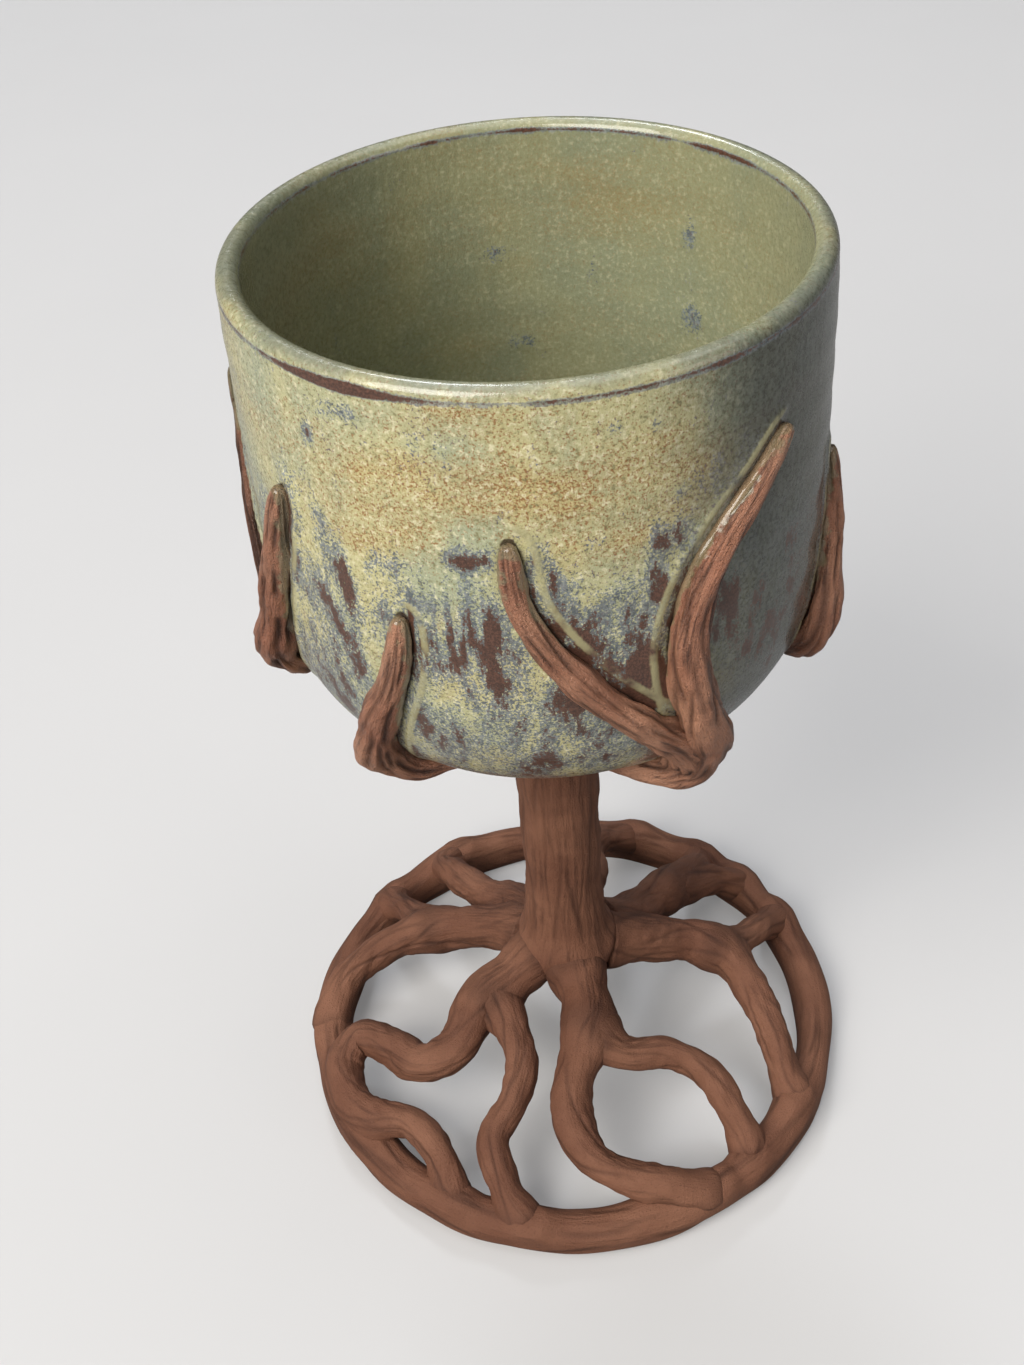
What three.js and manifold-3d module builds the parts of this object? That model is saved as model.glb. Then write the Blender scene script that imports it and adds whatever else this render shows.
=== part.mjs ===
// Ceramic chalice: a thrown cup held in the branches of a hand-modelled tree.
// The trunk is the stem and the spreading roots run out to a coiled foot ring.
// Millimetres, +Z up, the ring stands on z = 0 and the front faces -Y.
import * as THREE from 'three';
import Module from 'manifold-3d';

const wasm = await Module();
wasm.setup();

// Driving dimensions
const TOTAL_HEIGHT = 186.5;
const RIM_DIAMETER = 90;
const CUP_DEPTH = 83;
const FOOT_DIAMETER = 114;
const TRUNK_DIAMETER = 15.4;

// Cup
const LIP_THICKNESS = 3.5;
const FLOOR_THICKNESS = 5;
const WALL_SWELL = 0.5;
const BELLY_SHARE = 0.51;
const BELLY_SQUARENESS = 3.2;
const CLIMB_NUDGE = 0.01;
const BELLY_ROWS = 9;
const WALL_ROWS = 3;
const LIP_ROWS = 5;
const CUP_SIDES = 40;

// Foot ring
const RING_COIL_DIAMETER = 8;
const RING_FLAT_DEPTH = 0.7;
const RING_UNEVENNESS = 0.05;
const RING_LUMPS = 7;
const RING_BACK_SWELL = 0.1;
const RING_STEPS = 56;
const RING_SIDES = 10;

// Trunk
const TRUNK_FOOT_HEIGHT = 20;
const TRUNK_FOOT_FLARE = 1.45;
const TRUNK_FOOT_FLARE_SHARE = 0.38;
const TRUNK_TOP_FLARE = 1.25;
const TRUNK_TOP_FLARE_POWER = 6;
const TRUNK_TWIST = 0.5;
const TRUNK_ROWS = 10;
const TRUNK_SIDES = 16;

// Roots
const ROOT_CROWN_HEIGHT = 32;
const ROOT_SAG = 0.85;
const ROOT_THICKNESS = 12;
const ROOT_TIP_THICKNESS = 6.4;
const SPUR_THICKNESS = 8.4;
const STUB_THICKNESS = 7.6;
const ROOT_TAPER = 1.2;

// Branches
const BRANCH_SPRING_DEPTH = 9;
const BRANCH_SPRING_SHARE = 0.6;
const BRANCH_SPRING_THICKNESS = 3.6;
const BRANCH_SWELL_START = 0.62;
const BRANCH_THICKNESS = 6.2;
const HEAVY_BRANCH_THICKNESS = 7.6;
const FORK_THICKNESS = 5.4;
const TWIG_THICKNESS = 3;
const BRANCH_TIP_THICKNESS = 2.2;
const BRANCH_TAPER = 1;

// Rolled coils
const SEAT_SHARE = 0.55;
const COIL_SIDES = 8;
const COIL_STEP_LENGTH = 4.6;
const END_ROUNDING = 0.6;
const BARK_DEPTH = 0.07;

// Clearance left along every joint between two pieces
const JOINT_GAP = 0.3;

// Values worked out from the driving dimensions
const RIM_RADIUS = RIM_DIAMETER / 2;
const CUP_RADIUS = RIM_RADIUS + WALL_SWELL;
const CUP_BASE = TOTAL_HEIGHT - CUP_DEPTH;
const BELLY_HEIGHT = CUP_DEPTH * BELLY_SHARE;
const BELLY_TOP = CUP_BASE + BELLY_HEIGHT;
const LIP_RADIUS = LIP_THICKNESS / 2;
const TRUNK_RADIUS = TRUNK_DIAMETER / 2;
const RING_COIL_RADIUS = RING_COIL_DIAMETER / 2;
const RING_AXIS_HEIGHT = RING_COIL_RADIUS - RING_FLAT_DEPTH;
const RING_TOP = RING_AXIS_HEIGHT + RING_COIL_RADIUS;
const RING_RADIUS = FOOT_DIAMETER / 2 - RING_COIL_RADIUS * (1 + RING_UNEVENNESS);

// Ways of the roots: the share of the distance from the axis to the ring, then the bearing
// in degrees anticlockwise from +X.
const ROOTS = [
  {
    name: 'root_front_left',
    thick: ROOT_THICKNESS,
    way: [
      [0.12, -156], [0.27, -154], [0.42, -152], [0.58, -143], [0.7, -148], [0.77, -159],
      [0.88, -167], [0.97, -163], [0.99, -154], [0.96, -146], [0.88, -137], [0.9, -126], [1, -118],
    ],
  },
  {
    name: 'root_front_left_spur',
    thick: SPUR_THICKNESS,
    way: [[0.36, -150], [0.39, -127], [0.49, -115], [0.65, -113], [0.79, -114], [0.92, -108], [1.02, -101]],
  },
  {
    name: 'root_front_right',
    thick: ROOT_THICKNESS,
    way: [
      [0.1, -85], [0.21, -77], [0.33, -79], [0.49, -89], [0.66, -92], [0.81, -87],
      [0.91, -76], [0.97, -67], [1.02, -59],
    ],
  },
  {
    name: 'root_front_right_spur',
    thick: SPUR_THICKNESS,
    way: [[0.33, -79], [0.48, -67], [0.56, -50], [0.69, -44], [0.83, -46], [0.94, -48], [1.01, -50]],
  },
  {
    name: 'root_right',
    thick: ROOT_THICKNESS,
    way: [[0.14, 0], [0.33, 9], [0.51, 12], [0.66, 4], [0.76, -10], [0.86, -22], [0.95, -29], [1.02, -32]],
  },
  {
    name: 'root_right_spur',
    thick: STUB_THICKNESS,
    way: [[0.6, 8], [0.75, 14], [0.9, 20], [1.03, 25]],
  },
  {
    name: 'root_back_right',
    thick: ROOT_THICKNESS,
    way: [[0.15, 34], [0.3, 37], [0.5, 42], [0.7, 45], [0.88, 49], [1.01, 52]],
  },
  {
    name: 'root_back_right_spur',
    thick: STUB_THICKNESS,
    way: [[0.58, 43], [0.74, 41], [0.88, 40], [1.03, 38]],
  },
  {
    name: 'root_back',
    thick: ROOT_THICKNESS,
    way: [[0.15, 86], [0.3, 83], [0.5, 77], [0.7, 80], [0.86, 78], [1, 70]],
  },
  {
    name: 'root_back_left',
    thick: ROOT_THICKNESS,
    way: [[0.15, 122], [0.33, 124], [0.57, 128], [0.8, 126], [0.93, 124], [1, 118]],
  },
  {
    name: 'root_left',
    thick: ROOT_THICKNESS,
    way: [[0.14, 160], [0.38, 151], [0.56, 153], [0.72, 158], [0.86, 164], [0.96, 173], [1.04, 184]],
  },
  {
    name: 'root_left_spur',
    thick: STUB_THICKNESS,
    way: [[0.6, 153], [0.75, 148], [0.89, 144], [1.04, 140]],
  },
];

// Ways of the branches: the climb (0 at the middle of the cup's underside, 1 at the top of
// the belly, 2 at the lip), the bearing in degrees, and the bow away from the wall as a share
// of the thickness. The elbow is the share of the length where the branch is thickest, and 0
// for a branch that forks off another.
const BRANCHES = [
  {
    name: 'branch_left',
    thick: BRANCH_THICKNESS,
    elbow: 0.6,
    way: [
      [0.2, -178, 0], [0.4, -177, 0], [0.58, -172, 0], [0.71, -164, 0.12], [0.79, -161, 0.24],
      [0.93, -155.5, 0.08], [1.06, -150, 0.02], [1.42, -144, 0],
    ],
  },
  {
    name: 'branch_left_twig',
    thick: TWIG_THICKNESS,
    elbow: 0,
    way: [[0.94, -164, 0.12], [1.1, -173, 0.05], [1.3, -178, 0], [1.54, -180, 0]],
  },
  {
    name: 'branch_front_left',
    thick: BRANCH_THICKNESS,
    elbow: 0.6,
    way: [
      [0.14, -112, 0], [0.31, -124, 0], [0.47, -130, 0.35], [0.65, -131, 0.13], [0.82, -126, 0],
      [0.97, -119, 0], [1.08, -117, 0],
    ],
  },
  {
    name: 'branch_right_front',
    thick: HEAVY_BRANCH_THICKNESS,
    elbow: 0.42,
    way: [
      [0.2, -76, 0], [0.37, -69, 0.02], [0.49, -60, 0.32], [0.67, -57, 0.1], [0.85, -62, 0],
      [0.99, -65, 0], [1.15, -62, 0], [1.3, -57, 0], [1.44, -49.5, 0], [1.59, -41, 0],
    ],
  },
  {
    name: 'branch_front',
    thick: FORK_THICKNESS,
    elbow: 0,
    way: [
      [0.62, -60, 0.15], [0.74, -66, 0], [0.84, -73, 0], [0.95, -83, 0], [1.02, -91, 0],
      [1.2, -95, 0], [1.44, -96, 0],
    ],
  },
  {
    name: 'branch_right',
    thick: BRANCH_THICKNESS,
    elbow: 0.6,
    way: [
      [0.2, 8, 0], [0.4, 6, 0], [0.56, -4, 0], [0.66, -16, 0.2], [0.77, -20, 0.26],
      [0.93, -16, 0.1], [1, -13, 0.03], [1.18, -13, 0],
    ],
  },
  {
    name: 'branch_back_right',
    thick: BRANCH_THICKNESS,
    elbow: 0.5,
    way: [
      [0.2, 20, 0], [0.4, 23, 0], [0.58, 28, 0.12], [0.74, 33, 0.18], [0.88, 40, 0.06],
      [1.02, 44, 0], [1.18, 39, 0], [1.34, 35, 0],
    ],
  },
  {
    name: 'branch_back',
    thick: BRANCH_THICKNESS,
    elbow: 0.5,
    way: [
      [0.2, 86, 0], [0.4, 87, 0], [0.58, 89, 0.12], [0.75, 92, 0.18], [0.93, 97, 0],
      [1.15, 90, 0], [1.45, 97, 0],
    ],
  },
  {
    name: 'branch_back_left',
    thick: BRANCH_THICKNESS,
    elbow: 0.5,
    way: [
      [0.2, 146, 0], [0.4, 145, 0], [0.58, 142, 0.12], [0.74, 139, 0.18], [0.87, 146, 0.06],
      [1.02, 142, 0], [1.28, 152, 0],
    ],
  },
];

// Colours and surface
const GLAZE = { color: 0x8f8f6c, roughness: 0.25, metalness: 0 };
const BARK_CLAY = { color: 0x7d5644, roughness: 0.85, metalness: 0 };
const ROOT_CLAY = { color: 0x8a6350, roughness: 0.85, metalness: 0 };
const BRANCH_CLAY = { color: 0x9a664e, roughness: 0.6, metalness: 0 };

// Helpers

function mix(from, to, share) {
  return from + (to - from) * share;
}

function polar(radius, bearing, height) {
  const angle = THREE.MathUtils.degToRad(bearing);
  return new THREE.Vector3(radius * Math.cos(angle), radius * Math.sin(angle), height);
}

// Stitches rows of points into one closed skin. Without poles the last row joins the first.
function skin(rows, poles) {
  const sides = rows[0].length;
  const points = rows.flat();
  const faces = [];
  const bands = poles ? rows.length - 1 : rows.length;
  for (let band = 0; band < bands; band += 1) {
    const low = band * sides;
    const high = ((band + 1) % rows.length) * sides;
    for (let side = 0; side < sides; side += 1) {
      const next = (side + 1) % sides;
      faces.push(low + side, low + next, high + next, low + side, high + next, high + side);
    }
  }
  if (poles) {
    const first = points.push(poles[0]) - 1;
    const last = points.push(poles[1]) - 1;
    const top = (rows.length - 1) * sides;
    for (let side = 0; side < sides; side += 1) {
      const next = (side + 1) % sides;
      faces.push(first, next, side, last, top + side, top + next);
    }
  }
  const vertProperties = new Float32Array(points.flatMap((point) => point.toArray()));
  const triVerts = new Uint32Array(faces);
  return new wasm.Manifold(new wasm.Mesh({ numProp: 3, vertProperties, triVerts }));
}

// Keeps the main body where a cut has left slivers behind.
function mainBody(solid) {
  const bodies = solid.decompose();
  return bodies.reduce((best, body) => (body.volume() > best.volume() ? body : best));
}

// A rolled clay coil with lengthwise bark ridges, along a smooth line through the given points.
function coil(points, radiusAt, grow) {
  const line = new THREE.CatmullRomCurve3(points, false, 'centripetal');
  const steps = Math.max(6, Math.round(line.getLength() / COIL_STEP_LENGTH));
  const frames = line.computeFrenetFrames(steps, false);
  const rows = [];
  for (let step = 0; step <= steps; step += 1) {
    const share = step / steps;
    const centre = line.getPointAt(share);
    const row = [];
    for (let side = 0; side < COIL_SIDES; side += 1) {
      const angle = (side / COIL_SIDES) * Math.PI * 2;
      const ridge = side % 2 === 0 ? 1 + BARK_DEPTH : 1 - BARK_DEPTH;
      const reach = radiusAt(share) * ridge + grow;
      const point = centre.clone();
      point.addScaledVector(frames.normals[step], reach * Math.cos(angle));
      point.addScaledVector(frames.binormals[step], reach * Math.sin(angle));
      row.push(point);
    }
    rows.push(row);
  }
  const startBulge = radiusAt(0) * END_ROUNDING + grow;
  const endBulge = radiusAt(1) * END_ROUNDING + grow;
  const start = line.getPointAt(0).addScaledVector(frames.tangents[0], -startBulge);
  const end = line.getPointAt(1).addScaledVector(frames.tangents[steps], endBulge);
  return skin(rows, [start, end]);
}

// Radius of a coil that swells from its spring to its elbow and then tapers to its tip.
function taper(spring, thick, thin, elbow, power) {
  return (share) => {
    if (share < elbow) {
      const swelling = THREE.MathUtils.smoothstep(share, elbow * BRANCH_SWELL_START, elbow);
      return mix(spring, thick, swelling) / 2;
    }
    return mix(thin, thick, ((1 - share) / (1 - elbow)) ** power) / 2;
  };
}

// Cup

// Radius and height of the outer face at a climb of 0 (underside) to 1 (belly) to 2 (lip).
function cupFace(climb) {
  if (climb <= 1) {
    const angle = (climb * Math.PI) / 2;
    const round = 2 / BELLY_SQUARENESS;
    const radius = CUP_RADIUS * Math.sin(angle) ** round;
    const height = CUP_BASE + BELLY_HEIGHT * (1 - Math.max(0, Math.cos(angle)) ** round);
    return new THREE.Vector2(radius, height);
  }
  const rise = climb - 1;
  return new THREE.Vector2(mix(CUP_RADIUS, RIM_RADIUS, rise), mix(BELLY_TOP, TOTAL_HEIGHT, rise));
}

// Outward direction of the outer face, as a radius and height pair.
function cupFacing(climb) {
  const ahead = cupFace(climb + CLIMB_NUDGE);
  const behind = cupFace(Math.max(0, climb - CLIMB_NUDGE));
  const along = ahead.sub(behind).normalize();
  return new THREE.Vector2(along.y, -along.x);
}

function cupProfile(grow) {
  const profile = [];
  for (let row = 1; row <= BELLY_ROWS; row += 1) {
    const climb = row / BELLY_ROWS;
    profile.push(cupFace(climb).addScaledVector(cupFacing(climb), grow));
  }
  const lipCentre = new THREE.Vector2(RIM_RADIUS - LIP_RADIUS, TOTAL_HEIGHT - LIP_RADIUS);
  for (let row = 1; row < WALL_ROWS; row += 1) {
    const share = row / WALL_ROWS;
    const radius = mix(CUP_RADIUS, RIM_RADIUS, share) + grow;
    const height = mix(BELLY_TOP, lipCentre.y, share);
    profile.push(new THREE.Vector2(radius, height));
  }
  for (let row = 0; row < LIP_ROWS; row += 1) {
    const angle = (row / (LIP_ROWS - 1)) * Math.PI;
    const reach = LIP_RADIUS + grow;
    const point = new THREE.Vector2(Math.cos(angle), Math.sin(angle));
    profile.push(point.multiplyScalar(reach).add(lipCentre));
  }
  const innerRadius = CUP_RADIUS - LIP_THICKNESS;
  const innerBase = CUP_BASE + FLOOR_THICKNESS;
  const innerBelly = BELLY_TOP - innerBase;
  const round = 2 / BELLY_SQUARENESS;
  for (let row = BELLY_ROWS; row >= 1; row -= 1) {
    const angle = ((row / BELLY_ROWS) * Math.PI) / 2;
    const radius = innerRadius * Math.sin(angle) ** round - grow;
    const height = innerBase + innerBelly * (1 - Math.max(0, Math.cos(angle)) ** round);
    profile.push(new THREE.Vector2(radius, height + grow));
  }
  return profile;
}

function cup(grow) {
  const rows = cupProfile(grow).map((spot) => {
    const row = [];
    for (let side = 0; side < CUP_SIDES; side += 1) {
      row.push(polar(spot.x, (side / CUP_SIDES) * 360, spot.y));
    }
    return row;
  });
  const underside = new THREE.Vector3(0, 0, CUP_BASE - grow);
  const floor = new THREE.Vector3(0, 0, CUP_BASE + FLOOR_THICKNESS + grow);
  return skin(rows, [underside, floor]);
}

// Foot ring

function footRing(grow) {
  const rows = [];
  for (let step = 0; step < RING_STEPS; step += 1) {
    const turn = step / RING_STEPS;
    const lump = 1 + RING_UNEVENNESS * Math.sin(turn * RING_LUMPS * Math.PI * 2);
    const swell = 1 + RING_BACK_SWELL * (1 + Math.sin(turn * Math.PI * 2));
    const row = [];
    for (let side = 0; side < RING_SIDES; side += 1) {
      const angle = -(side / RING_SIDES) * Math.PI * 2;
      const reach = RING_COIL_RADIUS * lump + grow;
      const height = RING_AXIS_HEIGHT + (RING_COIL_RADIUS * lump * swell + grow) * Math.sin(angle);
      row.push(polar(RING_RADIUS + reach * Math.cos(angle), turn * 360, Math.max(-grow, height)));
    }
    rows.push(row);
  }
  return skin(rows, null);
}

// Trunk

function trunk(grow) {
  const top = CUP_BASE - JOINT_GAP;
  const rows = [];
  for (let step = 0; step < TRUNK_ROWS; step += 1) {
    const share = step / (TRUNK_ROWS - 1);
    const nearFoot = Math.max(0, 1 - share / TRUNK_FOOT_FLARE_SHARE);
    const footFlare = (TRUNK_FOOT_FLARE - 1) * nearFoot ** 2;
    const topFlare = (TRUNK_TOP_FLARE - 1) * share ** TRUNK_TOP_FLARE_POWER;
    const radius = TRUNK_RADIUS * (1 + footFlare + topFlare);
    const row = [];
    for (let side = 0; side < TRUNK_SIDES; side += 1) {
      const ridge = side % 2 === 0 ? 1 + BARK_DEPTH : 1 - BARK_DEPTH;
      const turn = side / TRUNK_SIDES + (share * TRUNK_TWIST) / TRUNK_SIDES;
      const height = mix(TRUNK_FOOT_HEIGHT - grow, top + grow, share);
      row.push(polar(radius * ridge + grow, turn * 360, height));
    }
    rows.push(row);
  }
  const foot = new THREE.Vector3(0, 0, TRUNK_FOOT_HEIGHT - grow);
  const head = new THREE.Vector3(0, 0, top + grow);
  return skin(rows, [foot, head]);
}

// Roots

// The roots fall from the crown to their seat on top of the ring.
function rootPoints(root) {
  const seat = RING_TOP + (ROOT_TIP_THICKNESS / 2) * SEAT_SHARE;
  return root.way.map(([share, bearing]) => {
    const height = mix(ROOT_CROWN_HEIGHT, seat, share ** ROOT_SAG);
    return polar(share * RING_RADIUS, bearing, height);
  });
}

function rootCoil(root, grow) {
  const radiusAt = taper(root.thick, root.thick, ROOT_TIP_THICKNESS, 0, ROOT_TAPER);
  return coil(rootPoints(root), radiusAt, grow);
}

// Branches

function branchRadius(branch) {
  return taper(BRANCH_SPRING_THICKNESS, branch.thick, BRANCH_TIP_THICKNESS, branch.elbow, BRANCH_TAPER);
}

// A branch with an elbow springs from the trunk below the cup, hugs the belly and climbs the
// wall. One without forks off another branch.
function branchPoints(branch) {
  const steps = branch.way.length - 1;
  const points = branch.way.map(([climb, bearing, bow], index) => {
    const lift = branchRadius(branch)(index / steps) * SEAT_SHARE + bow * branch.thick;
    const spot = cupFace(climb).addScaledVector(cupFacing(climb), lift);
    return polar(spot.x, bearing, spot.y);
  });
  if (branch.elbow > 0) {
    const bearing = branch.way[0][1];
    points.unshift(polar(TRUNK_RADIUS * BRANCH_SPRING_SHARE, bearing, CUP_BASE - BRANCH_SPRING_DEPTH));
  }
  return points;
}

function branchCoil(branch, grow) {
  return coil(branchPoints(branch), branchRadius(branch), grow);
}

// Assembly

const chalice = new THREE.Group();
chalice.name = 'ceramic_chalice';

function addPiece(name, solid, surface) {
  const body = solid.getMesh();
  const geometry = new THREE.BufferGeometry();
  geometry.setAttribute('position', new THREE.BufferAttribute(new Float32Array(body.vertProperties), 3));
  geometry.setIndex(new THREE.BufferAttribute(new Uint32Array(body.triVerts), 1));
  geometry.computeVertexNormals();
  const mesh = new THREE.Mesh(geometry, new THREE.MeshStandardMaterial(surface));
  mesh.name = name;
  chalice.add(mesh);
}

// Each coil is trimmed back from the pieces already in place, so that no two share space.
function trimmed(solid, neighbours) {
  const cut = neighbours.reduce((rest, neighbour) => rest.subtract(neighbour), solid);
  return mainBody(cut);
}

addPiece('cup', cup(0), GLAZE);
addPiece('trunk', trunk(0), BARK_CLAY);
addPiece('foot_ring', footRing(0), ROOT_CLAY);

const rootNeighbours = [trunk(JOINT_GAP), footRing(JOINT_GAP)];
for (const root of ROOTS) {
  addPiece(root.name, trimmed(rootCoil(root, 0), rootNeighbours), ROOT_CLAY);
  rootNeighbours.push(rootCoil(root, JOINT_GAP));
}

const branchNeighbours = [trunk(JOINT_GAP), cup(JOINT_GAP)];
for (const branch of BRANCHES) {
  addPiece(branch.name, trimmed(branchCoil(branch, 0), branchNeighbours), BRANCH_CLAY);
  branchNeighbours.push(branchCoil(branch, JOINT_GAP));
}

export default chalice;
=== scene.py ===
# %% [markdown]
# # A tree-stem chalice in fired clay
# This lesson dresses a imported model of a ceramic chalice: a thrown, glazed cup held in the
# branches of a hand-modelled tree whose roots spread to a coiled foot ring.
# Every surface is worked out as a grid of points with numpy and then handed to Blender.
# Lengths are in millimetres until the very last step, where they become metres.

import math

import bpy
import numpy as np
from mathutils import Matrix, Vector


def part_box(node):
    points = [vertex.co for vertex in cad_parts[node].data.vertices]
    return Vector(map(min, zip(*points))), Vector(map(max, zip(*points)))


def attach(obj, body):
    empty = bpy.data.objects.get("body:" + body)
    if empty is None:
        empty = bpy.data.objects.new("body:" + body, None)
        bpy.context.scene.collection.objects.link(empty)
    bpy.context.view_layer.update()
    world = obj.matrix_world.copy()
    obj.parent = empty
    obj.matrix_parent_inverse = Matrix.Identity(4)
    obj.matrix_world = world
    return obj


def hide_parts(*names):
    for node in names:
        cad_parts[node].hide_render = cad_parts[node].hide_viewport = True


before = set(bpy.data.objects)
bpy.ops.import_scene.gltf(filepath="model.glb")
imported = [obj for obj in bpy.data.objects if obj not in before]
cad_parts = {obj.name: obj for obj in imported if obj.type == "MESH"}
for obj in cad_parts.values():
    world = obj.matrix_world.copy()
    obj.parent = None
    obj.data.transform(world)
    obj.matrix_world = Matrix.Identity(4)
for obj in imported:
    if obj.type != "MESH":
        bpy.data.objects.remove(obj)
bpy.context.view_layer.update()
MM = 0.001
print("frame loaded with", len(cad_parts), "solids")

# %% [markdown]
# The frame knows where each solid is, so the main sizes come from its boxes. The other
# sizes of a coil stand in the cell that first needs them.

# %% Sizes taken from the frame
cup_low, cup_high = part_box("cup")
_, ring_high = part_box("foot_ring")
trunk_low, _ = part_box("trunk")

CUP_RADIUS = cup_high.x / MM
CUP_BASE = cup_low.z / MM
LIP_TOP = cup_high.z / MM
RING_OUTER = ring_high.x / MM
TRUNK_FOOT = trunk_low.z / MM
print("cup", round(CUP_RADIUS, 1), "mm radius, ring", round(RING_OUTER, 1), "mm radius")

# %% [markdown]
# The camera comes first, because every later choice is judged through it. It stands in
# front of the chalice, looks down at it and leans a little to one side. Its place and turn
# were fitted so that the rim and the foot ring, which are both circles, look as they do in
# the picture.

# %% Camera
CAMERA_BACK = 212.4
CAMERA_HEIGHT = 283.6
CAMERA_YAW = math.radians(-1.93)
CAMERA_PITCH = math.radians(40.73)
CAMERA_ROLL = math.radians(-4.77)
FOCAL_PIXELS = 1550.0
PICTURE_HEIGHT_PIXELS = 1365.0
SENSOR = 36.0


def camera_axes(yaw, pitch, roll):
    """Right, up and forward of a camera turned by yaw, tilted down by pitch, leaned by roll."""
    forward = np.array(
        [math.sin(yaw) * math.cos(pitch), math.cos(yaw) * math.cos(pitch), -math.sin(pitch)]
    )
    level = np.array([math.cos(yaw), -math.sin(yaw), 0.0])
    rise = np.cross(level, forward)
    right = math.cos(roll) * level + math.sin(roll) * rise
    up = -math.sin(roll) * level + math.cos(roll) * rise
    return right, up, forward


right, up, forward = camera_axes(CAMERA_YAW, CAMERA_PITCH, CAMERA_ROLL)
lens = bpy.data.cameras.new("lens")
lens.sensor_width = SENSOR
lens.lens = SENSOR * FOCAL_PIXELS / PICTURE_HEIGHT_PIXELS
lens.clip_start = 0.01
camera = bpy.data.objects.new("camera", lens)
turn = Matrix(np.column_stack([right, up, -forward]).tolist()).to_4x4()
camera.matrix_world = Matrix.Translation((0.0, -CAMERA_BACK * MM, CAMERA_HEIGHT * MM)) @ turn
bpy.context.scene.collection.objects.link(camera)
bpy.context.scene.camera = camera
print("camera with a", round(lens.lens, 1), "mm lens")

# %% [markdown]
# ## Tools for coils
# Roots, branches, ring and trunk are all rolled clay, so they share one set of tools:
# a smooth line through a few chosen points, a skin swept along it, carved creases, and
# a swelling wherever two pieces are luted together. Sculpting by hand would do as well,
# but it can't be run again when a size changes.

# %% A smooth line
SPACING = 0.7
STRETCH_STEPS = 40
LEAST_CUTS = 12


def smooth_line(points, spacing=SPACING):
    """Centripetal Catmull-Rom line: each stretch blends the two points at its ends with
    the two beyond them, on knots set by the square roots of the chords. The line is then
    cut at equal spacing along its length."""
    points = np.asarray(points, float)
    ends = 2 * points[[0, -1]] - points[[1, -2]]
    p = np.vstack([ends[:1], points, ends[1:]])
    knots = np.concatenate([[0.0], np.cumsum(np.linalg.norm(np.diff(p, axis=0), axis=1) ** 0.5)])

    def blend(a, b, ta, tb, t):
        """Straight-line blend of two points between their knots."""
        return (a * (tb - t) + b * (t - ta)) / (tb - ta)

    stretches = []
    for i in range(1, len(p) - 2):
        k0, k1, k2, k3 = knots[i - 1 : i + 3]
        t = np.linspace(k1, k2, STRETCH_STEPS, endpoint=False)[:, None]
        a1 = blend(p[i - 1], p[i], k0, k1, t)
        a2 = blend(p[i], p[i + 1], k1, k2, t)
        a3 = blend(p[i + 1], p[i + 2], k2, k3, t)
        b1 = blend(a1, a2, k0, k2, t)
        b2 = blend(a2, a3, k1, k3, t)
        stretches.append(blend(b1, b2, k1, k2, t))
    dense = np.vstack(stretches + [p[-2:-1]])
    along = np.concatenate([[0.0], np.cumsum(np.linalg.norm(np.diff(dense, axis=0), axis=1))])
    count = max(LEAST_CUTS, int(round(along[-1] / spacing)))
    cuts = np.linspace(0.0, along[-1], count + 1)
    line = np.column_stack([np.interp(cuts, along, dense[:, axis]) for axis in range(3)])
    return line, cuts


def unit(vectors):
    """Vectors of length one."""
    return vectors / np.maximum(np.linalg.norm(vectors, axis=-1, keepdims=True), 1e-9)


def polar(radius, bearing, height):
    """Points from a radius, a bearing in degrees anticlockwise from +X, and a height."""
    angle = np.radians(bearing)
    return np.stack(np.broadcast_arrays(radius * np.cos(angle), radius * np.sin(angle), height), axis=-1)


def smoothstep(low, high, value):
    """0 below low, 1 above high, and an S-shaped rise between them."""
    share = np.clip((value - low) / (high - low), 0.0, 1.0)
    return share * share * (3.0 - 2.0 * share)


print("lines are cut every", SPACING, "mm")

# %% [markdown]
# A crease is a line scored along the soft clay with a point. It could be a bump in the
# material, but then the outline would stay smooth, so it is cut into the points. It wanders
# sideways, fades in and out, and is a narrow bell-shaped dip across. Fingers leave lumps
# as well, which are sums of slanting waves.

# %% Carved creases
SWAY_LENGTHS = (22, 60)
ANY_PHASE = (0, 6.3)
DRIFT = 0.25


def creases(theta, along, girth, seed, count, width, depth, wander, run):
    """Depth of scored lines on a coil, in millimetres.
    Each line has a bearing round the coil that sways along it as a sine and drifts, and a
    strength that comes and goes over a run of so many millimetres. Across, it is a bell
    curve. The deepest line counts where two cross."""
    rng = np.random.default_rng(seed)
    total = np.zeros((len(along), len(theta)))
    length = along[-1] - along[0] + 1e-6
    for line in range(count):
        home = 2 * math.pi * (line + rng.uniform(0.1, 0.9)) / count
        sway_phase = 2 * math.pi * along / rng.uniform(*SWAY_LENGTHS) + rng.uniform(*ANY_PHASE)
        drift = rng.normal(0, DRIFT) * (along - along[0]) / length
        run_phase = 2 * math.pi * along / rng.uniform(*run) + rng.uniform(*ANY_PHASE)
        strength = smoothstep(0.1, 0.8, 0.5 + 0.5 * np.sin(run_phase)) * rng.uniform(0.45, 1.0)
        middle = home + wander * np.sin(sway_phase) + drift
        away = (theta[None, :] - middle[:, None] + math.pi) % (2 * math.pi) - math.pi
        across = away * (girth / (2 * math.pi)) / (width * rng.uniform(0.7, 1.4))
        total = np.maximum(total, strength[:, None] * np.exp(-across * across))
    return total * depth


def waves(theta, along, size, seed, count, most_turns, lengths):
    """A sum of slanting waves, each with its own turns round the coil and length along it."""
    rng = np.random.default_rng(seed)
    total = np.zeros((len(along), len(theta)))
    for _ in range(count):
        turns = rng.integers(-most_turns, most_turns + 1)
        phase = 2 * math.pi * along / rng.uniform(*lengths) + rng.uniform(*ANY_PHASE)
        total += np.sin(turns * theta[None, :] + phase[:, None])
    return total * size / count ** 0.5


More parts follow.
